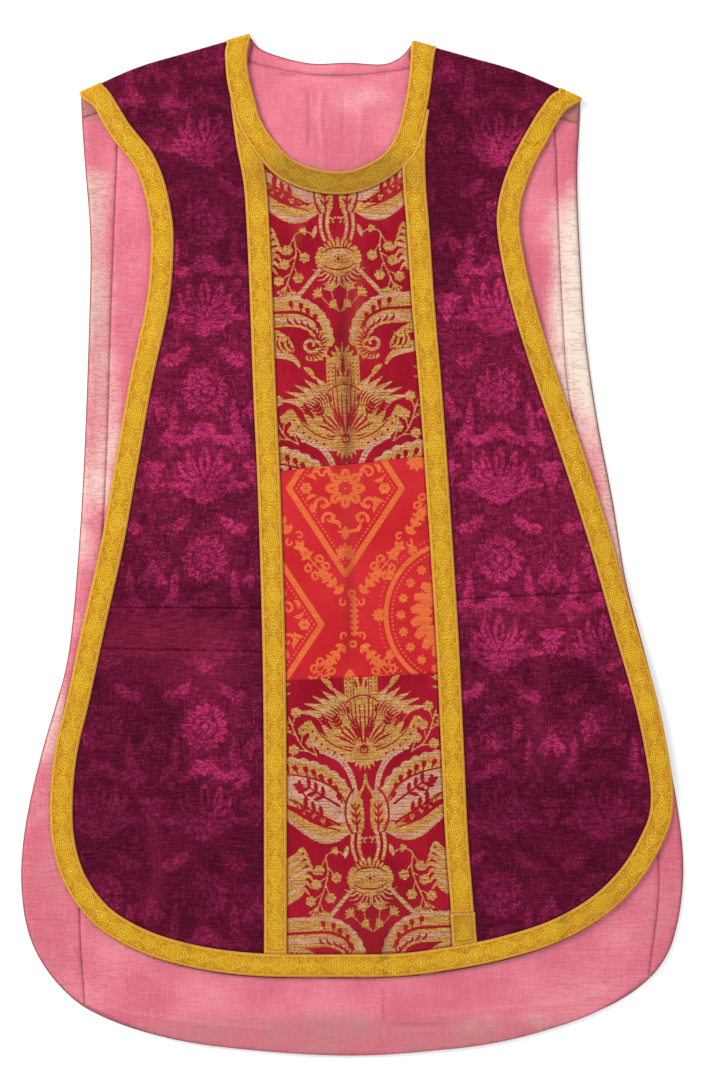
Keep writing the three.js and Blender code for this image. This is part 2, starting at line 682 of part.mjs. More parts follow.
const facingTop = clearOf(backNeck, CORNER_CLEAR.facing, { shift: LINING_INSET, side: -1 });
const facingFoot = stretch(facingSeam, 0, facingSeam.length);
const facingSides = {
  left: straight(facingTop(0), facingFoot(0)),
  right: straight(facingTop(1), facingFoot(1)),
};
const facing = { top: facingTop, bottom: moved(facingFoot, 0, SEAM_GAP), ...facingSides };
add("back_neck_facing", "lining", liningWall(patch(facing, FACING_COLUMNS, [0, 1])));

const topRooms = [creaseLeft, creaseRight].map((crease) => {
  const foot = samples(shoulderFoot(crease, SHOULDER_LINING_WIDTH), 60);
  return slab([...foot, ...samples(creaseDown(crease, -TOP_ROOM), 20).reverse()], 0, 2 * LINING_TOP);
});
const aboveFacing = samples(moved(facingFoot, 0, TOP_ROOM), FACING_COLUMNS).reverse();
topRooms.push(slab([...samples(facingFoot, FACING_COLUMNS), ...aboveFacing], 0, 2 * LINING_TOP));

const liningShares = sharesToHem(liningSeamLeft.length);

// The side strips: from the shoulder piece down to the hem, between the back's edge and a seam.
function liningStrip(isLeft, seam, edgeFoot) {
  const start = seam.at(0);
  const edge = insetEdge(backAt(start.y, isLeft), backAt(edgeFoot, isLeft));
  const inner = stretch(seam, 0, seam.length - 1, { shift: SEAM_GAP / 2, side: isLeft ? -1 : 1 });
  const sides = { top: straight(edge(0), inner(0)), bottom: straight(edge(1), inner(1)) };
  const grid = patch({ ...sides, left: edge, right: inner }, 3, liningShares);
  return cut(liningWall(grid), ...topRooms);
}
add("back_lining_left", "lining", liningStrip(true, liningSeamLeft, LINING_STRIP_FOOT.left));
add("back_lining_right", "lining", liningStrip(false, liningSeamRight, LINING_STRIP_FOOT.right));

const intoCentre = (seam, side) => stretch(seam, 0, seam.length - 1, { shift: SEAM_GAP / 2, side });
const centreLeft = intoCentre(liningSeamLeft, 1);
const centreRight = intoCentre(liningSeamRight, -1);
const centreTop = new Line([
  [centreLeft(0).x, centreLeft(0).y],
  ...[0.5, 0.1].map((t) => shoulderFoot(creaseLeft, SHOULDER_LINING_WIDTH - SEAM_OVERRUN)(t).toArray()),
  ...[0.15, 0.5, 0.85].map((t) => moved(facingFoot, 0, SEAM_OVERRUN)(t).toArray()),
  ...[0.1, 0.5].map((t) => shoulderFoot(creaseRight, SHOULDER_LINING_WIDTH - SEAM_OVERRUN)(t).toArray()),
  [centreRight(0).x, centreRight(0).y],
]);
const centre = {
  top: stretch(centreTop, 0, centreTop.length),
  bottom: insetEdge(backAt(centreLeft(1).y, true), backAt(centreRight(1).y, false)),
  left: centreLeft,
  right: centreRight,
};
const centreGrid = patch(centre, LINING_COLUMNS, liningShares);
add("back_lining_centre", "lining", cut(liningWall(centreGrid), ...topRooms));

export default chasuble;
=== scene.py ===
"""A fiddleback chasuble laid flat: silk damask sides, a column of brocade and silk, gold galloon and
a pink cotton lining. Lengths are metres, and patterns are drawn in mm."""

import math

import bpy
import numpy as np
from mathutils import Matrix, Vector
from mathutils.bvhtree import BVHTree
from mathutils.geometry import delaunay_2d_cdt
from mathutils.kdtree import KDTree


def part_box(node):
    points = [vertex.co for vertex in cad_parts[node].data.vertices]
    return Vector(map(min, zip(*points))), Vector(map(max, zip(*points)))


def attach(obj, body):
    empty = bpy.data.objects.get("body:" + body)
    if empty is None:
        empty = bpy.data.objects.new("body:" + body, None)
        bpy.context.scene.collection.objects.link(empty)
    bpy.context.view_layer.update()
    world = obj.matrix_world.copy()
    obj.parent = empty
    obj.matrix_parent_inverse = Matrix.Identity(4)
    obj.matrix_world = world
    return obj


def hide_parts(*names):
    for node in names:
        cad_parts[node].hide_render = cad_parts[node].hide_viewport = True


MM = 0.001

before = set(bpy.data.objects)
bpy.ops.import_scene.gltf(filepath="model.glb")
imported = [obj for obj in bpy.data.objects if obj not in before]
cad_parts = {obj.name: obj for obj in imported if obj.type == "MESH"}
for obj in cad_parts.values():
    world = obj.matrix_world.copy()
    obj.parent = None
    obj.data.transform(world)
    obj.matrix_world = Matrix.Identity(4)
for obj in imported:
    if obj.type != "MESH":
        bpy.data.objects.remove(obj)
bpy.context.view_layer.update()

# ---- The camera, straight above ------------------------------------------------------------------

VIEW_HEIGHT = 1.1448  # how much of the floor the view takes in, from its top to its bottom
VIEW_CENTRE = (0.0032, 0.0053)
CAMERA_HEIGHT = 3.0


def make_camera():
    data = bpy.data.cameras.new("camera")
    data.sensor_width = 36.0
    data.lens = data.sensor_width * CAMERA_HEIGHT / VIEW_HEIGHT
    camera = bpy.data.objects.new("camera", data)
    camera.location = (*VIEW_CENTRE, CAMERA_HEIGHT)
    bpy.context.scene.collection.objects.link(camera)
    bpy.context.scene.camera = camera


# ---- Outlines, read from the solids --------------------------------------------------------------

WELD = 1e-6  # points closer than this are one point
UPWARD = 0.15  # a face that looks up at least this steeply belongs to the upper side
CORNER = math.radians(28)  # an outline that turns more sharply than this has a corner
SAME_POINT = 1.2 * MM  # points of an outline that are closer than this become one


def solid_of(node):
    """A solid's points and triangles, with the points that its faces share joined."""
    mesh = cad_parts[node].data
    mesh.calc_loop_triangles()
    points = np.array([v.co[:] for v in mesh.vertices])
    corners = np.array([t.vertices[:] for t in mesh.loop_triangles])
    keys, index = np.unique(np.round(points / WELD).astype(np.int64), axis=0, return_inverse=True)
    return keys * WELD, index.reshape(-1)[corners]


def rim(node):
    """The outline in plan of a solid's upper side: a ring of points that runs anticlockwise."""
    points, triangles = solid_of(node)
    a, b, c = points[triangles].transpose(1, 0, 2)
    normal = np.cross(b - a, c - a)
    upper = triangles[normal[:, 2] > UPWARD * np.linalg.norm(normal, axis=1)]
    edges = {(int(t[i]), int(t[i - 2])) for t in upper for i in range(3)}
    after = {start: end for start, end in edges if (end, start) not in edges}
    rings = []
    while after:
        ring = [min(after)]
        while ring[-1] in after:
            ring.append(after.pop(ring[-1]))
        rings.append(points[ring[:-1], :2])
    return max(rings, key=lambda ring: abs(area_of(ring)))


def area_of(ring):
    x, y = ring.T
    return 0.5 * float(np.sum(x * np.roll(y, -1) - y * np.roll(x, -1)))


def unit(ways):
    """Directions made one long."""
    return ways / np.hypot(*ways.T)[:, None]


def square_to(ways):
    """The directions a quarter turn to the left of those given."""
    return np.column_stack([-ways[:, 1], ways[:, 0]])


def turns(ring):
    """How sharply a ring turns at each of its points."""
    into = ring - np.roll(ring, 1, 0)
    out = np.roll(ring, -1, 0) - ring
    cross = into[:, 0] * out[:, 1] - into[:, 1] * out[:, 0]
    return np.abs(np.arctan2(cross, np.sum(into * out, axis=1)))


def thinned(ring):
    """The ring without the points that lie almost on the one before."""
    kept = [ring[0]]
    for point in ring[1:]:
        if np.hypot(*(point - kept[-1])) > SAME_POINT:
            kept.append(point)
    if np.hypot(*(kept[-1] - kept[0])) <= SAME_POINT:
        kept.pop()
    return np.array(kept)


def smoothed(ring, pitch):
    """The ring as points about a pitch apart, on curves between its corners."""
    ring = thinned(ring)
    chord = np.roll(ring, -1, 0) - ring
    length = np.hypot(*chord.T)[:, None]
    way = chord / length
    mean = unit(np.roll(way / length, 1, 0) + way / length)
    sharp = (turns(ring) > CORNER)[:, None]
    leaving = np.where(sharp, way, mean) * length
    arriving = np.roll(np.where(sharp, np.roll(way, 1, 0), mean), -1, 0) * length
    made = []
    for i, start in enumerate(ring):
        end = ring[(i + 1) % len(ring)]
        count = max(1, round(float(length[i, 0]) / pitch))
        t = (np.arange(count) / count)[:, None]
        bend = (2 * t**3 - 3 * t**2 + 1) * start + (3 * t**2 - 2 * t**3) * end
        bend += (t**3 - 2 * t**2 + t) * leaving[i] + (t**3 - t**2) * arriving[i]
        made.append(bend)
    return np.concatenate(made)


# ---- The shoulder folds --------------------------------------------------------------------------
# The flat cut runs on past each crease. d is how far past it a point lies, and the cloth there is
# wound round the fold, from its top at 0 down to the underside at FOLD_LENGTH.

fold_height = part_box("edge_galloon")[1].z / 2
cloth_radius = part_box("front_side_left_upper")[1].z - fold_height
FOLD_FLAT_RADIUS = 4.0 * MM
FOLD_LENGTH = math.pi * FOLD_FLAT_RADIUS


def crease_of(node):
    """The points of a side's shoulder crease, by x: the highest points of its solid."""
    points, _ = solid_of(node)
    top = points[points[:, 2] > points[:, 2].max() - 2e-6]
    return top[np.argsort(top[:, 0]), :2]


CREASES = [crease_of("front_side_left_upper"), crease_of("front_side_right_upper")]
BETWEEN_CREASES = (CREASES[0][-1, 0] + CREASES[1][0, 0]) / 2


def past_crease(points):
    """How far past its own crease each point lies, and the level direction square to it."""
    x, y = points.T
    d = np.empty(len(points))
    square = np.empty((len(points), 2))
    for crease, mine in zip(CREASES, (x < BETWEEN_CREASES, x >= BETWEEN_CREASES)):
        run, rise = np.gradient(crease[:, 0]), np.gradient(crease[:, 1])
        slope = np.interp(x[mine], crease[:, 0], rise / run)
        inside = np.clip(x[mine], crease[0, 0], crease[-1, 0])
        level = np.interp(inside, crease[:, 0], crease[:, 1]) + slope * (x[mine] - inside)
        steep = 1 / np.sqrt(1 + slope**2)
        d[mine] = (y[mine] - level) * steep
        square[mine] = np.stack([-slope * steep, steep], axis=1)
    return d, square


def unrolled(ring, node):
    """A folded solid's ring with what is past the creases laid out flat."""
    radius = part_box(node)[1].z - fold_height
    d, square = past_crease(ring)
    share = np.clip(d / radius, 0, 1)
    # a cloth that reaches the outermost part of the fold goes on round it, to the underside
    flat = np.where(share > 0.9, FOLD_LENGTH, FOLD_FLAT_RADIUS * np.arcsin(share))
    return ring + square * np.where(d > 0, flat - d, 0)[:, None]


def flat_rim(node, is_folded):
    """The outline of a piece as it was cut, before it was folded over the shoulders."""
    return unrolled(rim(node), node) if is_folded else rim(node)


# ---- How the cloth lies --------------------------------------------------------------------------


def ease(t):
    """A soft step from nought to one."""
    t = np.clip(t, 0, 1)
    return t * t * (3 - 2 * t)


def run_of(line):
    """How far along a line each of its points is."""
    return np.concatenate([[0], np.cumsum(np.hypot(*np.diff(line, axis=0).T))])


def points_at(line, stops):
    """The points of a line at distances along it."""
    begun = run_of(line)
    return np.column_stack([np.interp(stops, begun, line[:, k]) for k in (0, 1)])


def nearest(points, line):
    """Where each point is nearest to a line: the share along it, and the distance."""
    steps = np.hypot(*np.diff(line, axis=0).T)
    begun = run_of(line)
    best = np.full(len(points), 1e9)
    share = np.zeros(len(points))
    for i, step in enumerate(steps):
        way = (line[i + 1] - line[i]) / step
        t = np.clip((points - line[i]) @ way, 0, step)
        away = np.hypot(*(points - line[i] - t[:, None] * way).T)
        closer = away < best
        best[closer] = away[closer]
        share[closer] = (begun[i] + t[closer]) / begun[-1]
    return share, best


def beside(grid, **filling):
    """The grid moved by one cell down, up, left and right, with its border filled in."""
    wide = np.pad(grid, 1, **filling)
    return wide[:-2, 1:-1], wide[2:, 1:-1], wide[1:-1, :-2], wide[1:-1, 2:]


def within(grid, places):
    """Places, counted in cells, kept inside a grid."""
    return np.clip(places, 0, np.array(grid.shape[::-1]) - 1.001)


def read_grid(grid, places):
    """The values of a grid at places inside it, taken evenly between the four around each."""
    j, i = places.astype(int).T
    u, v = (places - places.astype(int)).T
    below = grid[i, j] * (1 - u) + grid[i, j + 1] * u
    above = grid[i + 1, j] * (1 - u) + grid[i + 1, j + 1] * u
    return below * (1 - v) + above * v


class Layer:
    """A layer of cloth: the height at which each point of it lies, with its soft creases."""

    PITCH = 4 * MM  # of the grid of heights
    MARGIN = 24 * MM  # how far the grid runs on past the cloth
    INSET = 6  # cells from its edge to where it surely covers what is below
    FADE = 0.25  # the share of a crease over which it sets in, and dies away

    def __init__(self, nodes, creases, is_folded):
        self.is_folded = is_folded
        self.creases = creases
        points, triangles = [], []
        for node in nodes:
            own_points, own_triangles = solid_of(node)
            triangles += (own_triangles + sum(map(len, points))).tolist()
            points.append(own_points)
        points = np.concatenate(points)
        tree = BVHTree.FromPolygons(points.tolist(), triangles)
        self.low = points[:, :2].min(0) - self.MARGIN
        self.size = np.ceil((points[:, :2].max(0) + self.MARGIN - self.low) / self.PITCH).astype(int)
        grid = np.full((self.size[1] + 1, self.size[0] + 1), np.nan)
        for i, j in np.ndindex(*grid.shape):
            x, y = self.low + self.PITCH * np.array([j, i])
            hit = tree.ray_cast(Vector((x, y, 1)), Vector((0, 0, -1)))[0]
            if hit is not None:
                grid[i, j] = hit.z
        rows, columns = np.mgrid[0 : grid.shape[0], 0 : grid.shape[1]]
        places = np.stack([columns.ravel(), rows.ravel()], axis=1) * self.PITCH + self.low
        beyond = (past_crease(places)[0] > 0).reshape(grid.shape)
        grid[beyond] = fold_height + cloth_radius if is_folded else np.nan
        self.known = self.shrunk(~np.isnan(grid), self.INSET)
        self.grid = self.blurred(self.spread(grid))

    def spread(self, grid):
        """The grid with the heights at the cloth's edge carried on outwards."""
        while np.isnan(grid).any():
            near = np.stack(beside(grid, constant_values=np.nan))
            known = ~np.isnan(near)
            mean = np.nansum(near, axis=0) / np.maximum(known.sum(0), 1)
            grid = np.where(np.isnan(grid) & known.any(0), mean, grid)
        return grid

    def blurred(self, grid):
        """The heights smoothed, first up and down and then across, twice."""
        for _ in range(2):
            for first in (0, 2):
                low, high = beside(grid, mode="edge")[first : first + 2]
                grid = (low + 2 * grid + high) / 4
        return grid

    def shrunk(self, known, steps):
        """The covered cells without those within so many steps of the edge."""
        for _ in range(steps):
            known = known & np.logical_and.reduce(beside(known))
        return known

    def covers(self, points):
        """Whether each point is well under this layer."""
        place = np.clip((points - self.low) / self.PITCH, 0, np.array(self.grid.shape[::-1]) - 1)
        j, i = place.round().astype(int).T
        return self.known[i, j]

    def height(self, points):
        return read_grid(self.grid, within(self.grid, (points - self.low) / self.PITCH))

    def relief(self, points):
        """The rise and fall of the creases: each a soft trough or ridge that fades at its ends."""
        rise = np.zeros(len(points))
        for line, depth, width in self.creases:
            line = curve(line, 5 * len(line)) * MM
            reach = 3 * width * MM
            close = np.all((points > line.min(0) - reach) & (points < line.max(0) + reach), axis=1)
            if close.any():
                share, away = nearest(points[close], line)
                fade = ease(share / self.FADE) * ease((1 - share) / self.FADE)
                rise[close] += depth * MM * fade * np.exp(-((away / (width * MM)) ** 2))
        return rise

    def place(self, points, lift):
        """Where points of the flat cut come to lie, lifted square to the cloth."""
        lift = lift + self.relief(points)
        placed = np.column_stack([points, self.height(points) + lift])
        if not self.is_folded:
            return placed
        d, square = past_crease(points)
        over = d > 0
        angle = math.pi / 2 - d[over] / FOLD_FLAT_RADIUS
        radius = cloth_radius + lift[over]
        foot = points[over] - square[over] * d[over, None]
        placed[over, :2] = foot + square[over] * (radius * np.cos(angle))[:, None]
        placed[over, 2] = fold_height + radius * np.sin(angle)
        return placed


# ---- Meshes --------------------------------------------------------------------------------------


def tree_of(points):
    """A tree that finds the one of these points that is nearest to a place."""
    tree = KDTree(len(points))
    for i, (x, y) in enumerate(points):
        tree.insert((x, y, 0), i)
    tree.balance()
    return tree


def grid_inside(ring, pitch, clear):
    """Points in staggered rows inside a ring, with some clearance to it."""
    low, high = ring.min(0), ring.max(0)
    end = np.roll(ring, -1, 0)
    near = tree_of(ring)
    kept = []
    for row, y in enumerate(np.arange(low[1] + pitch / 2, high[1], pitch)):
        crossing = (ring[:, 1] > y) != (end[:, 1] > y)
        a, b = ring[crossing], end[crossing]
        cuts = np.sort(a[:, 0] + (y - a[:, 1]) * (b[:, 0] - a[:, 0]) / (b[:, 1] - a[:, 1]))
        start = low[0] + pitch * (0.25 + 0.5 * (row % 2))
        for left, right in zip(cuts[::2], cuts[1::2]):
            first = math.ceil((left - start) / pitch)
            last = math.floor((right - start) / pitch)
            kept += [(start + pitch * k, y) for k in range(first, last + 1)]
    return np.array([p for p in kept if near.find((*p, 0))[2] > clear]).reshape(-1, 2)


def is_inside(points, ring, batch=2000):
    """Whether each point is inside a ring, worked out in batches."""
    end = np.roll(ring, -1, 0)
    inside = np.zeros(len(points), bool)
    for i in range(0, len(points), batch):
        x, y = points[i : i + batch, :, None].transpose(1, 0, 2)
        crossing = (ring[:, 1] > y) != (end[:, 1] > y)
        slope = (end[:, 0] - ring[:, 0]) / np.where(end[:, 1] == ring[:, 1], 1, end[:, 1] - ring[:, 1])
        right = x < ring[:, 0] + (y - ring[:, 1]) * slope
        inside[i : i + batch] = np.sum(crossing & right, axis=1) % 2 == 1
    return inside


def filled(ring, inner):
    """A ring filled with triangles that use the inner points: all points, and the triangles."""
    given = [Vector(p) for p in np.concatenate([ring, inner]).tolist()]
    made = delaunay_2d_cdt(given, [], [list(range(len(ring)))], 1, 1e-9, False)
    points, triangles = np.array([p[:] for p in made[0]]), np.array(made[2])
    a, b, c = points[triangles].transpose(1, 0, 2)
    total = 0.5 * np.sum((b - a)[:, 0] * (c - a)[:, 1] - (b - a)[:, 1] * (c - a)[:, 0])
    if total > 1.01 * area_of(ring):
        triangles = triangles[is_inside((a + b + c) / 3, ring)]
    return points, triangles


def border(triangles):
    """The border of a patch of triangles, as pairs of points in the way that they run."""
    edges = {(int(t[i]), int(t[i - 2])) for t in triangles for i in range(3)}
    return [(a, b) for a, b in sorted(edges) if (b, a) not in edges]


def make_mesh(name, points, faces, material):
    mesh = bpy.data.meshes.new(name)
    mesh.from_pydata(np.asarray(points, float).tolist(), [], faces)
    mesh.shade_smooth()
    mesh.materials.append(material)
    piece = bpy.data.objects.new(name, mesh)
    bpy.context.scene.collection.objects.link(piece)
    return piece


def set_values(piece, name, values):
    """Numbers, or places, that a mesh carries at its points for its material to read."""
    kind = "FLOAT_VECTOR" if np.ndim(values) == 2 else "FLOAT"
    attribute = piece.data.attributes.new(name, kind, "POINT")
    key = "vector" if kind == "FLOAT_VECTOR" else "value"
    attribute.data.foreach_set(key, np.asarray(values, np.float32).ravel())


def from_edge(points, ring):
    """The distance of each point to a ring."""
    near = tree_of(ring)
    index = np.array([near.find((x, y, 0))[1] for x, y in points])
    away = np.full(len(points), 1e9)
    for start, end in ((index - 1, index), (index, (index + 1) % len(ring))):
        way = ring[end] - ring[start]
        t = np.clip(np.sum((points - ring[start]) * way, axis=1) / np.sum(way * way, axis=1), 0, 1)
        away = np.minimum(away, np.hypot(*(points - ring[start] - t[:, None] * way).T))
    return away


ROUND = 0.7 * MM  # how far the edge of a cloth is rounded over
# How far apart the points of each cloth are, and how thick it is. Undersides and what other cloth
# covers need only a coarse mesh.
UNDER_PITCH = 16 * MM
DAMASK_PITCH = 1.8 * MM
FIGURED_PITCH = 0.86 * MM
LINING_PITCH = 3.2 * MM
SHELL_PITCH = 4.5 * MM
BRAID_PITCH = 1.5 * MM
PLAIN_BRAID_PITCH = 3.0 * MM
FRONT_THICKNESS = 1.2 * MM
LINING_THICKNESS = 0.9 * MM
SHELL_THICKNESS = 0.9 * MM
BRAID_THICKNESS = 0.85 * MM


def make_sheet(name, node, layer, material, pitch, top, wall, drawings=None, coarse=None):
    """A closed thin cloth over a solid's own outline. top is the height of its face above the
    layer, wall its thickness, and coarse says where its mesh may be coarse."""
    ring = smoothed(flat_rim(node, layer.is_folded), pitch)
    inner = grid_inside(ring, pitch, 0.75 * pitch)
    if coarse is not None:
        wide = grid_inside(ring, UNDER_PITCH, pitch)
        inner = np.concatenate([inner[~coarse(inner)], wide[coarse(wide)]])
    flat, triangles = filled(ring, inner)
    under, under_triangles = filled(ring, grid_inside(ring, UNDER_PITCH, 0.5 * UNDER_PITCH))
    away = from_edge(flat, ring)
    rounded = ROUND - np.sqrt(np.maximum(ROUND**2 - np.maximum(ROUND - away, 0) ** 2, 0))
    over_points = layer.place(flat, top - rounded)
    under_points = layer.place(under, np.full(len(under), top - wall))
    faces = triangles.tolist() + (under_triangles[:, ::-1] + len(flat)).tolist()
    faces += joined_rims(flat, triangles, under, under_triangles)
    piece = make_mesh(name, np.concatenate([over_points, under_points]), faces, material)
    both = np.concatenate([flat, under])
    set_values(piece, "cloth", np.column_stack([both / MM, np.zeros(len(both))]))
    set_values(piece, "edge", np.concatenate([away, np.zeros(len(under))]) / MM)
    # how the creases rise and fall, which the materials turn into painted shade and highlight
    set_values(piece, "crease", layer.relief(both) / MM)
    set_values(piece, "upper", np.repeat([1.0, 0.0], [len(flat), len(under)]))
    for value, drawing in (drawings or {}).items():
        set_values(piece, value, drawing(both))
    finish(piece, node)
    return piece


def joined_rims(flat, triangles, under, under_triangles):
    """The narrow faces between the border of a face and the border of its underside."""

    def place(point):
        return tuple(np.round(point / WELD).astype(int))

    below = {place(under[i]): i + len(flat) for pair in border(under_triangles) for i in pair}
    return [(b, a, below[place(flat[a])], below[place(flat[b])]) for a, b in border(triangles)]


def finish(piece, node):
    """Puts the piece under the root body, and hides the solid that it stands for."""
    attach(piece, "root")
    if node:
        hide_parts(node)


# ---- Drawing: figures made of strokes, in millimetres --------------------------------------------

FAR = 9.0  # a distance at which neither a figure nor a braid shows


class Drawing:
    """How far each place is from the edge of a figure drawn in strokes: below nought inside it."""

    PITCH = 0.5  # of the grid of distances
    REACH = 2.5  # the furthest distance that it holds

    def __init__(self, low, high):
        self.low = np.array(low, float)
        size = np.ceil((np.array(high) - self.low) / self.PITCH).astype(int) + 1
        self.field = np.full((size[1], size[0]), self.REACH)

    def stroke(self, points, radii):
        """A line whose half width goes through the radii."""
        points = np.array(points, float)
        if np.ndim(radii) == 0:
            radii = [radii, radii]
        radii = np.interp(np.linspace(0, 1, len(points)), np.linspace(0, 1, len(radii)), radii)
        for a, b, start, end in zip(points, points[1:], radii, radii[1:]):
            self.limb(a, b, start, end)

    def limb(self, a, b, start, end):
        margin = max(start, end) + self.REACH
        low = np.floor((np.minimum(a, b) - margin - self.low) / self.PITCH).astype(int).clip(0)
        high = np.ceil((np.maximum(a, b) + margin - self.low) / self.PITCH).astype(int) + 1
        if (high <= low).any():
            return
        window = self.field[low[1] : high[1], low[0] : high[0]]
        rows, columns = np.ogrid[low[1] : low[1] + window.shape[0], low[0] : low[0] + window.shape[1]]
        x = columns * self.PITCH + self.low[0] - a[0]
        y = rows * self.PITCH + self.low[1] - a[1]
        way = b - a
        t = np.clip((x * way[0] + y * way[1]) / max(way @ way, 1e-9), 0, 1)
        away = np.hypot(x - t * way[0], y - t * way[1]) - (start + (end - start) * t)
        np.minimum(window, away, out=window)

    def dot(self, centre, radius):
        self.stroke([centre, np.add(centre, (0.01, 0))], radius)

    def leaf(self, base, tip, width, bend=0.0):
        """A leaf or petal; bend moves its middle sideways by that share of its length."""
        line = curve([base, middle_of(base, tip, bend), tip], 9)
        self.stroke(line, [0.15, 0.55 * width / 2, 0.95 * width / 2, width / 2, 0.7 * width / 2, 0.1])

    def flower(self, centre, radius, petals=6, turn=0.0):
        for k in range(petals):
            self.dot(polar(centre, 0.62 * radius, turn + 360 * k / petals), 0.36 * radius)
        self.dot(centre, 0.3 * radius)

    def curl(self, centre, radii, angles, widths):
        """A spiral: its radii, angles and half widths from its outer end to its inner one."""
        count = max(6, int(abs(angles[1] - angles[0]) / 20))
        turning = zip(np.linspace(*radii, count), np.linspace(*angles, count))
        self.stroke([polar(centre, r, a) for r, a in turning], widths)

    def scallops(self, line, radius, spacing):
        for point in spaced(line, spacing):
            self.dot(point, radius)

    def at(self, x, y):
        """The distances at places; nothing is drawn outside the grid."""
        drawn = (np.column_stack([x, y]) - self.low) / self.PITCH
        places = within(self.field, drawn)
        outside = np.abs(drawn - places).max(1) > 0.01
        return np.where(outside, self.REACH, read_grid(self.field, places))


def polar(centre, radius, degrees):
    angle = math.radians(degrees)
    return np.array(centre, float) + radius * np.array([math.cos(angle), math.sin(angle)])


def heading(a, b):
    """The direction from one point to another, in degrees."""
    return math.degrees(math.atan2(b[1] - a[1], b[0] - a[0]))


def arc(centre, radii, angles, count=12):
    """A stretch of an ellipse, from one angle to the other."""
    turn = np.radians(np.linspace(*angles, count))
    return np.add(centre, np.column_stack([radii[0] * np.cos(turn), radii[1] * np.sin(turn)]))


def middle_of(a, b, bend):
    """The middle between two points, moved sideways by a share of the way between them."""
    a, b = np.array(a, float), np.array(b, float)
    return (a + b) / 2 + bend * np.array([a[1] - b[1], b[0] - a[0]])


def curve(points, count):
    """A smooth line of so many points through the points given."""
    points = np.array(points, float)
    ends = np.concatenate([2 * points[:1] - points[1:2], points, 2 * points[-1:] - points[-2:-1]])
    made = []
    for t in np.linspace(0, len(points) - 1, count):
        i = min(int(t), len(points) - 2)
        u = t - i
        a, b, c, d = ends[i : i + 4]
        second, third = 2 * a - 5 * b + 4 * c - d, 3 * b - a - 3 * c + d
        made.append(0.5 * (2 * b + (c - a) * u + second * u**2 + third * u**3))
    return np.array(made)


def spaced(line, spacing):
    """Points a spacing apart along a line."""
    line = np.array(line, float)
    length = run_of(line)[-1]
    count = max(1, round(length / spacing))
    return points_at(line, np.linspace(0, length, count + 1))


# ---- The brocade's figure ------------------------------------------------------------------------
# It is the same to the left and right of an axis and repeats along it. The right half is drawn; x is
# measured from the axis and y upwards from the foot of the palmette.

BROCADE_REPEAT = 327.0
BROCADE_HALF_WIDTH = 92.0


def brocade():
    """The drawings of the whole figure, of the ground colour's lines in it and of its silver."""
    low, high = (-4, -BROCADE_REPEAT - 4), (BROCADE_HALF_WIDTH, 140)
    figure, lines, silver = (Drawing(low, high) for _ in range(3))
    palmette(figure, lines, silver)
    horns(figure, lines, silver)
    great_leaf(figure, lines, silver)
    small_leaf(figure, lines, silver)
    stems(figure, silver)
    flower_head(figure, lines, silver)
    sprays(figure, lines, silver)
    feathers(figure, silver)
    scroll(figure, lines, silver)
    return figure, lines, silver


def palmette(figure, lines, silver):
    # the turret in its middle, with a pierced band up each side
    figure.stroke([(5, 40), (6, 76)], [5, 8])
    figure.stroke([(3, 78), (7, 106)], [8, 6])
    figure.stroke([(13.6, 82), (13.6, 108)], 4)
    for y in np.arange(84, 110, 4.4):
        lines.dot((15.6, y), 1.0)
        lines.dot((11.0, y), 1.0)
    lines.stroke([(8.2, 80), (8.2, 106)], 0.6)
    crown = (0, 104)
    for k in range(5):
        degrees = 90 - 19 * k
        figure.leaf(polar(crown, 6, degrees), polar(crown, 26 - 3 * k, degrees), 4.0, 0.05)
    lines.leaf((0, 92), (0, 110), 4.6)
    lines.leaf((4.6, 90), (6.0, 101), 2.6)
    lines.stroke(curve([(0, 84), (9, 82), (17, 77)], 5), 0.8)
    figure.curl((20, 112), (5, 2), (200, -30), [1.8, 1.2])
    # upright veins below the turret
    for x, foot, top in ((2.4, 34, 74), (6.6, 40, 80), (10.8, 46, 78), (15, 52, 74)):
        lines.stroke(curve([(x * 0.6, foot), (x, (foot + top) / 2), (x * 1.1, top)], 5), [1.0, 0.6])
    # a broad wing to each side, and the fan of leaves that grows from it
    root = (4, 30)
    figure.stroke(curve([(9, 44), (24, 60), (42, 70)], 9), [8, 11, 10, 6])
    for k in range(10):
        degrees = 72 - 4.6 * k
        base, tip = polar(root, 38, degrees - 3), polar(root, 62 + k + 7 * (k % 2), degrees)
        bend = 0.12 + 0.01 * k
        figure.leaf(base, tip, 6.2 - 1.2 * (k % 2), bend)
        lines.leaf(polar(root, 32, degrees - 2), polar(root, 53, degrees - 2), 1.7, bend)
        if k % 2:
            silver.leaf(base, tip, 3.6, bend)
    # the lower lobes, veined from the hub
    hub = (0, 26)
    lobe = arc((4, 62), (52, 42), (-90, -10))
    figure.stroke(lobe, [6, 8, 8, 3])
    figure.stroke(arc((6, 66), (34, 28), (-90, -8)), [8, 10, 4])
    figure.curl((58, 52), (6, 2), (110, -90), [2.2, 1.2])
    for k, degrees in enumerate((76, 64, 52, 40, 28)):
        lines.leaf(polar(hub, 9, degrees), polar(hub, 36 - 3 * (k % 2), degrees), 2.6, 0.05)
    for point in spaced(lobe[3:-1], 9):
        lines.dot(point - (0, 1.5), 1.4)
    lines.stroke(lobe[2:] + (-3.4, 4.2), [0.8, 0.6])
    sprig(lines, (20, 44), 62, 20, 1.4)
    sprig(lines, (33, 50), 50, 16, 1.3)
    silver.stroke(arc((6, 60), (55, 46), (-88, -16)), [1.6, 2.0, 1.4])
    # the foot
    for k in range(7):
        figure.leaf((0, 27), polar((0, 25), 23 - 1.6 * k, 268 + 17 * k), 4.6)
    for k in range(5):
        lines.dot(polar(hub, 3.8, 90 - 45 * k), 1.3)
    lines.dot(hub, 1.0)


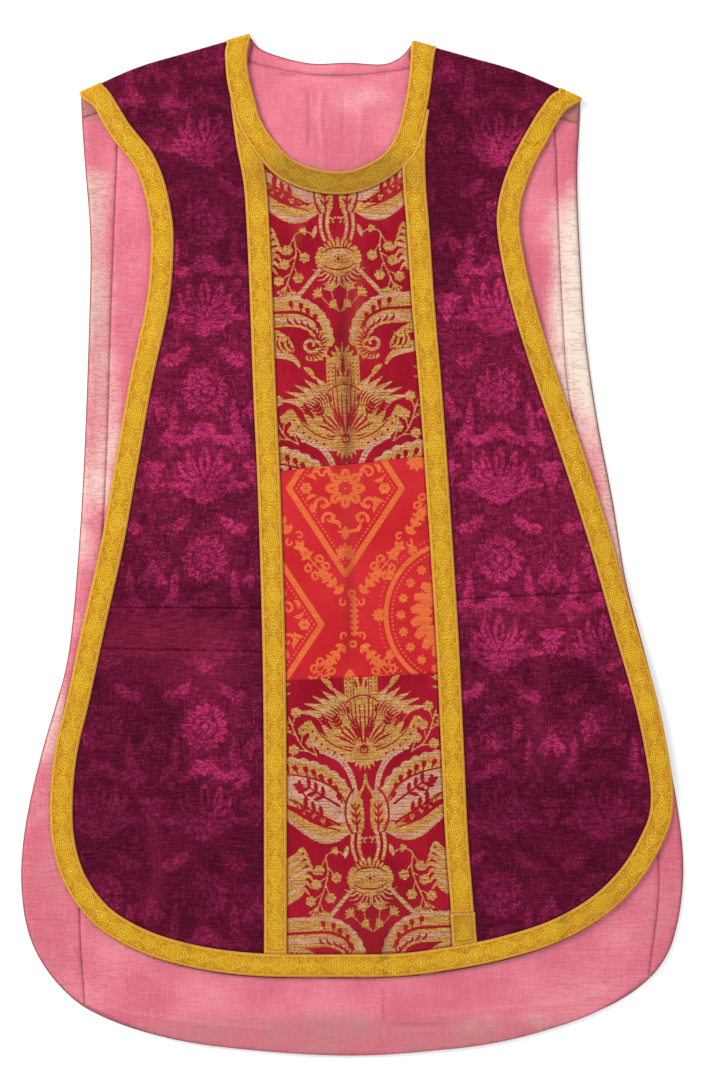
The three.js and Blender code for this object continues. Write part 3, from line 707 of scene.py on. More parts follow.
def sprig(lines, base, degrees, length, width):
    """A twig of the ground colour with leaflets to both sides."""
    tip = polar(base, length, degrees)
    lines.stroke([base, tip], [width * 0.7, width * 0.4])
    for k in range(1, 4):
        node = np.array(base) + (tip - base) * (0.25 + 0.22 * k)
        for side in (-1, 1):
            lines.leaf(node, polar(node, length * 0.3, degrees + side * 48), width * 2.2)


def horns(figure, lines, silver):
    """A silver horn to each side of the palmette's foot, and the thin stalk below it."""
    line = arc((45, -24), (34, 50), (180, 88))
    figure.stroke(line, [2.2, 3.0, 3.2, 1.6])
    silver.stroke(line, [2.4, 3.2, 3.4, 1.8])
    for point in spaced(line[3:-1], 4.5):
        lines.dot(point, 0.8)
    stalk = arc((20, 0), (20, 26), (180, 270), 8)
    figure.stroke(stalk, [1.3, 1.5])


def great_leaf(figure, lines, silver):
    # a scalloped outer edge over a band of small sprigs
    outer = arc((88, -30), (69, 47), (180, 90), 16)
    figure.scallops(outer, 6.4, 11.0)
    figure.stroke(outer - (-2, 3), 8)
    silver.scallops(outer + (-1.0, 3.4), 3.0, 5.5)
    for k, point in enumerate(spaced(arc((88, -30), (62, 41), (170, 96)), 9.5)):
        sprig(lines, point - (1, 5), 62 + 9 * (k % 3), 8, 1.4)
    # a broad silver leaf with two red twigs on it
    body = arc((94, -54), (67, 46), (170, 94))
    figure.stroke(body, [10, 18, 21, 19])
    silver.stroke(body, [7, 12, 14, 12])
    lines.stroke(arc((92, -34), (70, 38), (172, 93)), [0.7, 1.2, 0.8])
    lines.stroke(curve([(24, -50), (52, -50), (88, -25)], 10), [0.6, 1.0, 0.6])
    for base, degrees, length in (((29, -32), 34, 40), ((30, -52), 30, 42)):
        sprig(lines, base, degrees, length, 2.1)
    sprig(lines, (62, -24), 60, 20, 1.7)
    # golden leaves along its lower side, down to a curling foot
    tongue = curve([(22, -58), (50, -61), (88, -36)], 14)
    figure.stroke(tongue, [5, 9, 9, 7, 5])
    silver.stroke(tongue - (0, 5), [2, 3.4, 2.6, 1.6])
    lines.stroke(curve([(30, -58), (58, -48), (86, -28)], 10), [0.8, 1.1, 0.6])
    for k in range(3):
        start = np.array((46 + 10 * k, -52 + 6 * k))
        end = start + (12 + 2 * k, 19)
        figure.leaf(start, end, 7.5, 0.16)
        lines.leaf(start, end, 1.8, 0.16)
        lines.leaf(start + (4, 0), end + (4, 1), 1.5, 0.16)


def small_leaf(figure, lines, silver):
    """A small upright leaf between the axis and the great leaf."""
    middle = (6, -40)
    figure.stroke(arc(middle, (8, 21), (-70, 75)), [3, 6.5, 6.5, 3])
    figure.scallops(curve([(6, -56), (5, -44), (6, -28)], 6), 2.2, 4.2)
    silver.stroke(arc(middle, (14, 23), (-58, 70)), [1.3, 1.8, 1.3])
    lines.stroke([(11, -60), (12.5, -30)], [1.2, 0.7])
    for y in (-54, -46, -38):
        lines.leaf((11.6, y), (7, y + 8), 2.4)
        lines.leaf((12, y), (17, y + 8), 2.4)
    lines.stroke(arc(middle, (17, 27), (-52, 68)), 1.1)


def stems(figure, silver):
    """The stems that join the leaves to the flower head, and the head to the scroll."""
    for x in (9, 16):
        line = curve([(x, -60), (x + 1.5, -76), (x - 2, -90)], 6)
        figure.stroke(line, [1.9, 1.6])
        silver.stroke(line, [1.7, 1.1])
    slant = [(20, -121), (44, -148)]
    figure.stroke(slant, [2.0, 2.4])
    silver.stroke(slant, [1.6, 2.0])
    for side in (0, 4.5):
        figure.curl((2 + side, -70), (3.4, 2.2), (100, -60), [1.0, 0.7])


def flower_head(figure, lines, silver):
    # a barrel-shaped head with a crown of spikes above and a fringe below
    figure.stroke([(0, -110), (12, -110)], [14, 10.5])
    figure.stroke([(0, -120), (9, -119)], [9.5, 7.5])
    figure.scallops(curve([(19, -100), (23, -110), (19, -121)], 6), 2.2, 4.4)
    crown = (0, -112)
    for k in range(8):
        degrees = 88 - 12 * k
        figure.leaf(polar(crown, 14, degrees), polar(crown, 25.5 - 0.4 * k, degrees), 2.8)
    silver.stroke(curve([(0, -105), (10, -106), (19, -111)], 6), [2.0, 1.6, 0.8])
    lines.stroke(curve([(0, -98), (10, -99.5), (17, -104)], 6), [0.9, 0.9, 0.5])
    lines.stroke(curve([(0, -121.5), (10, -120), (18, -115)], 6), [0.9, 0.8, 0.5])
    lines.stroke(curve([(6, -126), (13, -124), (19, -119)], 6), 0.6)
    lines.dot((0, -110), 1.8)
    for k in range(4):
        lines.dot(polar((0, -110), 4.2, 90 - 60 * k), 0.9)
    for k in range(3):
        lines.dot((9 + 3.4 * k, -113), 0.8)
    under = (0, -114)
    for k in range(6):
        degrees = 272 + 13 * k
        tip = polar((0, -116), 28, degrees + 14)
        line = curve([polar(under, 17, degrees), polar(under, 24, degrees + 2), tip], 6)
        figure.stroke(line, [1.1, 0.8, 0.4])
        silver.stroke(line, [1.0, 0.6])


# Stalks with flowers to both sides in turn: the stalk, and how far it is from flower to flower.
STALKS = [([(46, -86), (45, -106), (58, -142)], 9.6), ([(50, 22), (66, 34), (78, 64)], 9.8)]


def sprays(figure, lines, silver):
    """The flowering stalks, the small twigs round them and the thistles at the axis."""
    for ends, spacing in STALKS:
        stalk = curve(ends, 14)
        figure.stroke(stalk, 0.7)
        silver.stroke(stalk, 0.7)
        points = spaced(stalk, spacing)
        for k, (foot, after) in enumerate(zip(points, points[1:])):
            side = 1 if k % 2 else -1
            degrees = heading(foot, after)
            centre = polar(after, 9.5, degrees - 78 * side)
            figure.stroke([foot, centre], 0.6)
            figure.flower(centre, 5.9, turn=40 * k)
            lines.dot(centre, 0.9)
            silver.dot(centre, 2.2)
    figure.stroke(arc((36, -86), (10, 6), (170, 0), 8), 0.7)
    stalk_end = (58, -138)
    for k in range(4):
        tip = polar(stalk_end, 9, -110 + 24 * k)
        figure.stroke([stalk_end, tip], 0.6)
        figure.dot(tip, 1.5)
    for degrees in (50, 68, 86):
        figure.leaf((34, -84), polar((34, -84), 10, degrees), 2.6)
    for drawing in (silver, figure):
        drawing.leaf((26, -88), (22, -74), 5)
    # thistles on thin stalks that rise from one place on the axis
    root = (0, -164)
    for reach, degrees, size in ((27, 38, 8.5), (24, 68, 8.5), (8, 40, 6.5)):
        thistle = polar(root, reach, degrees)
        figure.dot(thistle, 2.8)
        for spread in (-64, -32, 0, 32, 64):
            figure.leaf(thistle, polar(thistle, size, degrees + spread), 2.6)
        figure.stroke(curve([(1, -166), polar(root, 0.5 * reach, degrees - 12), thistle], 6), 0.5)
    figure.leaf((30, 90), (42, 104), 6, 0.1)
    lines.dot((37, 98), 0.8)


def feathers(figure, silver):
    """A row of curling feathers that come in from the side, longest in its middle."""
    for k in range(7):
        y = -74 - 7 * k
        short = abs(3 - k)
        bow, tip = (64 + 2.2 * short, y - 2), (58 + 2.4 * short, y - 8)
        line = curve([(90, y - 16), (76, y - 8), bow, tip], 10)
        figure.stroke(line, [2.9, 2.8, 2.1, 0.8])
        if k % 2:
            silver.stroke(line, [1.8, 1.8, 1.2, 0.6])
    for y in (44, 54, 84, 94):
        figure.leaf((92, y - 8), (74, y + 6), 4.0, -0.2)


def scroll_line(depth, radius):
    """A line of the scroll: straight in from the side at a depth, then a quarter round its hub."""
    quarter = arc((54, -196), (radius, 196 - depth), (90, 180), 18)
    return np.concatenate([[(BROCADE_HALF_WIDTH, -depth), (74, -depth)], quarter])


def scroll(figure, lines, silver):
    # a great curled leaf with scallops over its back, which ends in a spiral
    back = scroll_line(153, 41)
    figure.scallops(back, 5.6, 9.5)
    figure.stroke(back - (0, 3), [8, 7, 4])
    silver.scallops(back + (-0.5, 3.2), 2.8, 4.8)
    for k, point in enumerate(spaced(scroll_line(158, 33)[3:-4], 9)):
        sprig(lines, point - (0, 3), 78 + 14 * (k % 2), 7, 1.4)
    middle = scroll_line(173, 30)
    figure.stroke(middle, [7, 7, 6.5, 5, 4])
    silver.stroke(middle, [2.6, 3.4, 3, 2, 1.4])
    for point in spaced(middle[2:-2], 8):
        lines.leaf(point + (3, 4), point + (-4, -5), 2.8, 0.2)
    lines.stroke(scroll_line(164.5, 36)[:-4], [1.6, 1.8, 0.9])
    hub = (33, -200)
    figure.stroke(arc(hub, (14.5, 14.5), (105, 285)), [5, 5, 2.6])
    for degrees in range(110, 290, 15):
        lines.leaf(polar(hub, 19, degrees), polar(hub, 10, degrees + 22), 2.0, 0.1)
    figure.curl(hub, (8.4, 3), (215, 560), [1.6, 1.9, 1.7, 1.4])
    silver.curl(hub, (8.4, 3), (215, 560), [0.9, 1.3, 1.1, 0.9])
    # the leaf under it, with its tongues
    for x in (56, 66, 77):
        base, tip = (x, -189), (x - 0.25 * (78 - x), -207)
        figure.leaf(base, tip, 7.6, 0.22)
        lines.leaf(base, tip, 2.3, 0.22)
    top = arc((92, -212), (42, 29), (90, 160))
    figure.stroke(top, [5, 5, 4, 2])
    lines.scallops(top - (0, 1), 1.0, 5)
    under = arc((92, -224), (46, 20), (90, 175), 14)
    figure.stroke(under, [6, 6, 5, 2.6, 1.6])
    silver.stroke(under - (0, 3), [1.6, 2.4, 1.4, 0.8])
    for x in (56, 64, 72, 80):
        lines.dot((x, -206 - 0.1 * (72 - x)), 1.2)
    figure.scallops(curve([(92, -226), (80, -228)], 4), 3, 5)


# ---- The silk's figure ---------------------------------------------------------------------------
# Drawn in the garment's own millimetres, because its large repeat is cut through by the seams.

LOZENGE = (63, 96)  # half its width and height
FILLED_LOZENGES = ((-7, 60), (-92, -84))
CUT_LOZENGE = (-2, -226)  # only its upper corner reaches the silk
# The small leaves in one quarter of a lozenge: foot, tip and bend.
LOZENGE_LEAVES = (((30, 8), (41, 13), -0.2), ((30, 26), (36, 16), 0.2), ((4, 44), (17, 36), -0.3))
MEDALLION = (111, -74)
MEDALLION_RADII = (75, 77)
# Where each garland starts and ends, and its bend.
GARLANDS = [
    ((-3, -58), (-78, 30), 0.03),
    ((3, -58), (86, 54), -0.03),
    ((-2, -98), (-46, -150), 0.0),
    ((4, -98), (50, -150), 0.0),
]


def silk():
    """The drawings of the orange figure and of the lines left open in it."""
    figure, lines = (Drawing((-100, -150), (110, 105)) for _ in range(2))
    for centre in FILLED_LOZENGES:
        lozenge_frame(figure, centre)
        lozenge_filling(figure, lines, centre)
    lozenge_frame(figure, CUT_LOZENGE)
    medallion(figure, lines)
    for start, end, bend in GARLANDS:
        garland(figure, lines, start, end, bend)
    for point in spaced([(2, -60), (3, -96)], 6.5):
        figure.leaf(point, point + (0, 6.5), 4.5)
        figure.leaf(point, point + (4.5, 4), 3)
        figure.leaf(point, point + (-4.5, 4), 3)
    palm(figure, (70, 92), 235, 16)
    figure.curl((76, 84), (5, 2), (120, -140), [1.2, 0.8])
    return figure, lines


def lozenge_frame(figure, centre):
    """A band all round the lozenge, and a row of beads inside it."""
    sides = ((1, 0), (0, 1)), ((0, 1), (-1, 0)), ((-1, 0), (0, -1)), ((0, -1), (1, 0))
    for ends in sides:
        corners = np.multiply(ends, LOZENGE)
        figure.stroke(np.add(centre, 0.95 * corners), 3.0)
        for bead in spaced(np.add(centre, 0.82 * corners), 4.3):
            figure.dot(bead, 1.05)


def lozenge_filling(figure, lines, centre):
    """A rosette, a flower to each side, and curls and leaves in all four quarters."""
    rosette(figure, lines, centre, 15)
    for across in (-1, 1):
        flower_at = np.add(centre, (across * LOZENGE[0] * 0.66, 0))
        figure.flower(flower_at, 6.5)
        lines.dot(flower_at, 1.2)
        for up in (-1, 1):
            quarter = (across, up)
            for near, far, size in (((15, 14), (24, 17), 8.2), ((11, 27), (17, 32), 7.2)):
                stem, hub = (np.add(centre, np.multiply(place, quarter)) for place in (near, far))
                turn = (200, -160) if across * up > 0 else (-20, 340)
                figure.curl(hub, (size, 2), turn, [1.9, 1.5, 0.9])
                figure.leaf(stem, hub, 3.4, 0.3 * across * up)
            for base, tip, bend in LOZENGE_LEAVES:
                base, tip = (np.add(centre, np.multiply(place, quarter)) for place in (base, tip))
                figure.leaf(base, tip, 4.5, bend)
    for up in (-1, 1):
        palm(figure, np.add(centre, (0, up * 72)), -90 * up, 15)
        figure.stroke([np.add(centre, (-7, up * 46)), np.add(centre, (7, up * 46))], 1.2)
        figure.leaf(np.add(centre, (0, up * 40)), np.add(centre, (0, up * 54)), 8)


def rosette(figure, lines, centre, radius):
    for k in range(8):
        angle = 45 * k
        figure.leaf(polar(centre, 0.45 * radius, angle), polar(centre, 1.35 * radius, angle), 0.72 * radius)
        lines.leaf(polar(centre, 0.75 * radius, angle), polar(centre, 1.18 * radius, angle), 1.7)
        figure.dot(polar(centre, 0.28 * radius, angle + 22), 0.7)
    figure.dot(centre, 1.5)


def palm(figure, foot, degrees, size):
    """A small palmette of seven leaves."""
    for spread, length in ((0, 1.0), (-28, 0.9), (28, 0.9), (-58, 0.78), (58, 0.78), (-92, 0.6), (92, 0.6)):
        figure.leaf(foot, polar(foot, size * length, degrees + spread), 0.36 * size)


def garland(figure, lines, start, end, bend):
    """Leaves, buds and curls in turn along a bent line."""
    line = curve([start, middle_of(start, end, bend), end], 24)
    points = spaced(line, 10.2)
    for k, (a, b) in enumerate(zip(points, points[1:])):
        degrees = heading(a, b)
        stage = k % 8
        if stage in (1, 2, 7):
            figure.leaf(a, polar(a, 11, degrees), 5.2)
            for side in (-1, 1):
                figure.leaf(a, polar(a, 9.5, degrees + side * 42), 4.4)
        elif stage in (3, 6):
            figure.leaf(polar(a, -4, degrees), polar(a, 13, degrees), 9.5)
            lines.dot(polar(a, 4, degrees), 0.9)
            for side in (-1, 1):
                figure.leaf(a, polar(a, 8, degrees + side * 80), 3.4)
        elif stage in (4, 5):
            figure.stroke([a, b], 0.8)
            for side in (-1, 1):
                hub, turn = polar(a, 7.5, degrees + side * 90), (degrees, degrees + side * 300)
                figure.curl(hub, (4.4, 1.6), turn, [1.3, 0.9])
                figure.leaf(a, polar(a, 8, degrees + side * 30), 2.6, side * 0.4)
        else:
            for side in (-1, 1):
                hub, turn = polar(a, 6.5, degrees + side * 70), (degrees, degrees + side * 280)
                figure.curl(hub, (4.2, 1.5), turn, [1.3, 0.8])


def medallion(figure, lines):
    """The half of a round medallion that shows: rings of beads, rosettes and petals."""

    def on(share, degrees):
        angle = math.radians(degrees)
        across, up = share * MEDALLION_RADII[0], share * MEDALLION_RADII[1]
        return np.add(MEDALLION, (across * math.cos(angle), up * math.sin(angle)))

    figure.stroke([on(1.0, degrees) for degrees in range(90, 272, 4)], 2.4)
    for share, spacing, size in ((0.915, 4.4, 1.05), (1.10, 5.0, 0.9)):
        for point in spaced([on(share, degrees) for degrees in range(94, 268, 4)], spacing):
            figure.dot(point, size)
    for degrees in range(112, 260, 17):
        at = on(0.79, degrees)
        for k in range(7):
            figure.leaf(at, polar(at, 5.6, degrees + 360 * k / 7), 2.6)
        lines.dot(at, 0.8)
    for degrees in range(120, 252, 17):
        figure.leaf(on(0.34, degrees), on(0.66, degrees), 14, 0.12)
        lines.leaf(on(0.5, degrees + 8.5), on(0.69, degrees + 8.5), 2.4)
    for degrees in (180, 150, 210, 125, 235):
        palm(figure, on(1.06, degrees), degrees, 11 if degrees == 180 else 8)


# ---- The damask's figure -------------------------------------------------------------------------

DAMASK_TILE = (142.0, 228.0)
# The feathery leaves to the right of a tile's middle: foot, tip and bend.
DAMASK_FEATHERS = (
    ((0, 20), (52, 44), 0.22),
    ((0, 128), (46, 108), -0.25),
    ((60, 98), (40, 150), 0.15),
    ((58, 214), (26, 226), 0.2),
)
DAMASK_SCALE = 0.78
DAMASK_START = (100.4, 29.0)  # where on the right side a tile begins


def damask():
    """Rosettes and lotus flowers in rows, with feathery leaves and bunches of berries between."""
    figure, lines = (Drawing((0, 0), DAMASK_TILE) for _ in range(2))
    for column, row in np.ndindex(3, 3):
        corner = np.multiply((column - 1, row - 1), DAMASK_TILE)
        middle = corner + (DAMASK_TILE[0] / 2, 0)
        damask_rosette(figure, lines, middle + (0, 172))
        lotus(figure, lines, middle + (0, 42))
        for y, up in ((58, 1), (150, -1)):
            berries(figure, corner + (0, y), up)
        for side in (-1, 1):
            for base, tip, bend in DAMASK_FEATHERS:
                base, tip = (middle + np.multiply(place, (side, 1)) for place in (base, tip))
                feather(figure, base, tip, bend * side)
    return figure, lines


def damask_rosette(figure, lines, centre):
    """Two rings of petals round an eye, each petal with a line left open in it."""
    for ring, (count, inner, outer, width) in enumerate(((15, 16, 33, 9), (9, 6, 19, 9))):
        for k in range(count):
            angle = 360 * (k + 0.5 * ring) / count
            figure.leaf(polar(centre, inner, angle), polar(centre, outer, angle), width)
            lines.leaf(polar(centre, inner + 3, angle), polar(centre, outer - 4, angle), 2.8)
    lines.curl(centre, (17, 17), (0, 360), 1.7)
    lines.curl(centre, (6.4, 6.4), (0, 360), 1.5)
    figure.dot(centre, 4.5)


def lotus(figure, lines, foot):
    """A flower of long pointed petals, with short ones below and small flowers above it."""
    for spread, length in ((114, 30), (90, 40), (68, 47), (46, 52), (24, 56)):
        for side in (-1, 1):
            angle = 90 + side * spread
            figure.leaf(foot, polar(foot, length, angle), 13, 0.1 * side)
            lines.leaf(polar(foot, 12, angle), polar(foot, length - 6, angle), 3.2, 0.1 * side)
    figure.leaf(foot + (0, 8), foot + (0, 56), 15)
    lines.leaf(foot + (0, 18), foot + (0, 46), 5)
    for spread in (-64, -32, 0, 32, 64):
        figure.leaf(foot - (0, 4), polar(foot - (0, 4), 22, 270 + spread), 9)
    for k in range(7):
        figure.flower(polar(foot, 68, 48 + 14 * k), 5.5)


def feather(figure, start, end, bend):
    """A bent stem with leaflets to both sides, which grow shorter towards its tip."""
    stem = curve([start, middle_of(start, end, bend), end], 12)
    figure.stroke(stem, [1.4, 1.0])
    points = spaced(stem, 6.5)
    for k, (a, b) in enumerate(zip(points, points[1:])):
        degrees = heading(a, b)
        for side in (-1, 1):
            figure.leaf(a, polar(a, 14 - 0.8 * k, degrees + 44 * side), 5.2, -0.12 * side)
    figure.leaf(points[-2], polar(points[-1], 10, degrees), 6)


def berries(figure, top, up):
    """A bunch of berries in rows of four, three, two and one, between leaves."""
    for row in range(4):
        for k in range(4 - row):
            figure.dot(top + (6.6 * (k - (3 - row) / 2), -6.0 * row * up), 3.0)
    for side in (-1, 1):
        figure.leaf(top, top + (side * 20, 14 * up), 9, 0.15 * side)
        figure.leaf(top, top + (side * 9, 20 * up), 8, 0.15 * side)


# ---- Wiring of nodes -----------------------------------------------------------------------------


def paint(red, green, blue):
    """A colour given in 0-255 as the light that it sends back."""
    parts = [value / 255 for value in (red, green, blue)]
    return (*(v / 12.92 if v <= 0.04045 else ((v + 0.055) / 1.055) ** 2.4 for v in parts), 1.0)


class Wiring:
    """A node tree whose nodes are added and joined in few words. A value is a number or a socket."""

    def __init__(self, tree):
        self.tree = tree

    def feed(self, socket, value):
        if isinstance(value, bpy.types.NodeSocket):
            self.tree.links.new(value, socket)
        else:
            socket.default_value = value

    def math(self, operation, *values):
        node = self.tree.nodes.new("ShaderNodeMath")
        node.operation = operation
        for socket, value in zip(node.inputs, values):
            self.feed(socket, value)
        return node.outputs[0]

    def mix(self, share, a, b, blend="MIX"):
        node = self.tree.nodes.new("ShaderNodeMix")
        node.data_type = "RGBA"
        node.blend_type = blend
        for index, value in ((0, share), (6, a), (7, b)):
            self.feed(node.inputs[index], value)
        return node.outputs[2]

    def between(self, value, low, high, start=0.0, end=1.0):
        """The value taken softly from start to end as it goes from low to high."""
        node = self.tree.nodes.new("ShaderNodeMapRange")
        node.interpolation_type = "SMOOTHSTEP"
        for index, given in enumerate((value, low, high, start, end)):
            self.feed(node.inputs[index], given)
        return node.outputs[0]

    def scaled(self, vector, sizes):
        node = self.tree.nodes.new("ShaderNodeVectorMath")
        node.operation = "DIVIDE"
        self.feed(node.inputs[0], vector)
        self.feed(node.inputs[1], (*sizes, 1.0))
        return node.outputs[0]

    def noise(self, vector, sizes, detail=2.0):
        """Cloudy noise with lumps of about the sizes, across and along."""
        node = self.tree.nodes.new("ShaderNodeTexNoise")
        self.feed(node.inputs["Vector"], self.scaled(vector, sizes))
        node.inputs["Scale"].default_value = 1.0
        node.inputs["Detail"].default_value = detail
        return node.outputs[0]

    def parts(self, vector):
        node = self.tree.nodes.new("ShaderNodeSeparateXYZ")
        self.feed(node.inputs[0], vector)
        return node.outputs[0], node.outputs[1]

    def carried(self, name):
        """A value that the mesh carries at its points, such as a place in the flat cloth."""
        node = self.tree.nodes.new("ShaderNodeAttribute")
        node.attribute_name = name
        return node.outputs["Vector"] if name in ("cloth", "strip") else node.outputs["Fac"]

    def use(self, tree, **values):
        node = self.tree.nodes.new("ShaderNodeGroup")
        node.node_tree = tree
        for key, value in values.items():
            self.feed(node.inputs[key], value)
        return node.outputs


def new_group(name, inputs, outputs):
    """A node group, ready to be wired: its wiring, its inputs and its outputs."""
    tree = bpy.data.node_groups.new(name, "ShaderNodeTree")
    kinds = {"Place": "Vector", "Colour": "Color", "Dark": "Color", "Light": "Color"}
    for labels, way in ((inputs, "INPUT"), (outputs, "OUTPUT")):
        for label in labels:
            kind = "NodeSocket" + kinds.get(label, "Float")
            tree.interface.new_socket(label, in_out=way, socket_type=kind)
    inside = tree.nodes.new("NodeGroupInput").outputs
    outside = tree.nodes.new("NodeGroupOutput").inputs
    return Wiring(tree), inside, outside


def make_threads():
    """Crossing threads of a given pitch: their height and the streaks of uneven yarn."""
    w, inside, outside = new_group("threads", ["Place", "Pitch"], ["Height", "Weft", "Warp"])
    x, y = w.parts(inside["Place"])
    turn = w.math("DIVIDE", 2 * math.pi, inside["Pitch"])
    warp_rib = w.math("SINE", w.math("MULTIPLY", x, turn))
    weft_rib = w.math("SINE", w.math("MULTIPLY", y, turn))
    w.feed(outside["Height"], w.math("MULTIPLY_ADD", warp_rib, 0.5, weft_rib))
    w.feed(outside["Weft"], w.noise(inside["Place"], (22, 0.9), 3))
    w.feed(outside["Warp"], w.noise(inside["Place"], (0.9, 22), 3))
    return w.tree


def make_mottle():
    """Blotches, as of handling and fading, from 0 to 1."""
    w, inside, outside = new_group("mottle", ["Place", "Size"], ["Blotch", "Fleck"])
    node = w.tree.nodes.new("ShaderNodeVectorMath")
    node.operation = "SCALE"
    w.feed(node.inputs[0], inside["Place"])
    w.feed(node.inputs["Scale"], w.math("DIVIDE", 1.0, inside["Size"]))
    w.feed(outside["Blotch"], w.between(w.noise(node.outputs[0], (1, 1), 4), 0.32, 0.68))
    w.feed(outside["Fleck"], w.between(w.noise(inside["Place"], (3.1, 2.2), 4), 0.35, 0.65))
    return w.tree


def make_fray():
    """The mask of a woven figure without the lines left open in it, from the distances to both. Its
    edge steps from thread to thread."""
    w, inside, outside = new_group("fray", ["Place", "Figure", "Lines", "Rough", "Soft"], ["Mask"])
    distance = w.math("MAXIMUM", inside["Figure"], w.math("MULTIPLY", inside["Lines"], -1.0))
    lumps = w.math("SUBTRACT", w.noise(inside["Place"], (4.5, 1.1), 2), 0.5)
    moved = w.math("MULTIPLY_ADD", lumps, inside["Rough"], distance)
    soft = inside["Soft"]
    w.feed(outside["Mask"], w.between(moved, soft, w.math("MULTIPLY", soft, -1.0)))
    return w.tree


def make_slub():
    """The thick places of a hand-spun yarn, as short raised lines in both directions."""
    w, inside, outside = new_group("slub", ["Place"], ["Across", "Along"])
    across = w.noise(inside["Place"], (46, 0.85), 1.5)
    along = w.noise(inside["Place"], (0.85, 60), 1.5)
    w.feed(outside["Across"], w.between(across, 0.60, 0.78))
    w.feed(outside["Along"], w.between(along, 0.60, 0.78))
    return w.tree


def make_crinkle():
    """Fine uneven creases that run across or along the cloth, as thin lines from 0 to 1."""
    w, inside, outside = new_group("crinkle", ["Place"], ["Across", "Along"])
    for label, sizes in (("Across", (34, 7.5)), ("Along", (7.5, 46))):
        away = w.math("ABSOLUTE", w.math("SUBTRACT", w.noise(inside["Place"], sizes, 1.5), 0.5))
        w.feed(outside[label], w.between(away, 0.022, 0.004))
    return w.tree


def make_painted_crease_shade():
    """A colour with painted shade in the troughs of its creases and a painted highlight on their ridges."""
    w, inside, outside = new_group("painted_crease_shade", ["Colour", "Crease", "Dark", "Light"], ["Colour"])
    trough = w.between(inside["Crease"], -0.12, -0.8, 0.0, 0.45)
    ridge = w.between(inside["Crease"], 0.12, 0.8, 0.0, 0.2)
    colour = w.mix(trough, inside["Colour"], inside["Dark"])
    w.feed(outside["Colour"], w.mix(ridge, colour, inside["Light"]))
    return w.tree


def make_painted_braid_shadow():
    """A colour with the painted dark line of shadow that runs beside a braid, with some old dirt in it."""
    w, inside, outside = new_group("painted braid shadow", ["Colour", "Distance", "Dark"], ["Colour"])
    near = w.between(inside["Distance"], 3.2, 0.4, 0.0, 0.7)
    w.feed(outside["Colour"], w.mix(near, inside["Colour"], inside["Dark"]))
    return w.tree


THREADS = make_threads()
MOTTLE = make_mottle()
FRAY = make_fray()
SLUB = make_slub()
CRINKLE = make_crinkle()
PAINTED_CREASE_SHADE = make_painted_crease_shade()
PAINTED_BRAID_SHADOW = make_painted_braid_shadow()


# ---- Materials -----------------------------------------------------------------------------------


def new_cloth(name, slot, roughness=0.6):
    """A cloth's material and the wiring of its tree; coloured() ends it."""
    material = bpy.data.materials.new(name)
    material.use_nodes = True
    material["slot"] = slot
    shader = material.node_tree.nodes["Principled BSDF"]
    shader.inputs["Roughness"].default_value = roughness
    shader.inputs["Specular IOR Level"].default_value = 0.05
    return material, Wiring(material.node_tree)


def coloured(material, w, colour, height, depth, roughness=None):
    """The material with its colour, and its weave as a bump of so many metres."""
    shader = material.node_tree.nodes["Principled BSDF"]
    w.feed(shader.inputs["Base Color"], colour)
    if roughness is not None:
        w.feed(shader.inputs["Roughness"], roughness)
    bump = w.tree.nodes.new("ShaderNodeBump")
    bump.inputs["Strength"].default_value = 0.6
    bump.inputs["Distance"].default_value = depth
    w.feed(bump.inputs["Height"], height)
    w.feed(shader.inputs["Normal"], bump.outputs[0])
    return material


def woven_mask(w, place, rough, soft):
    """Where the cloth's figure shows, from the distances that its mesh carries."""
    figure, lines = w.carried("figure"), w.carried("lines")
    return w.use(FRAY, Place=place, Figure=figure, Lines=lines, Rough=rough, Soft=soft)[0]


def painted_shading(w, colour, dark, light, beside=None):
    """The colour with the painted shade and highlight of its creases and, where beside is given, the painted
    shadow beside the braid next to it.
    """
    colour = w.use(PAINTED_CREASE_SHADE, Colour=colour, Crease=w.carried("crease"), Dark=dark, Light=light)[0]
    if beside is None:
        return colour
    return w.use(PAINTED_BRAID_SHADOW, Colour=colour, Distance=w.carried("to_braid"), Dark=beside)[0]


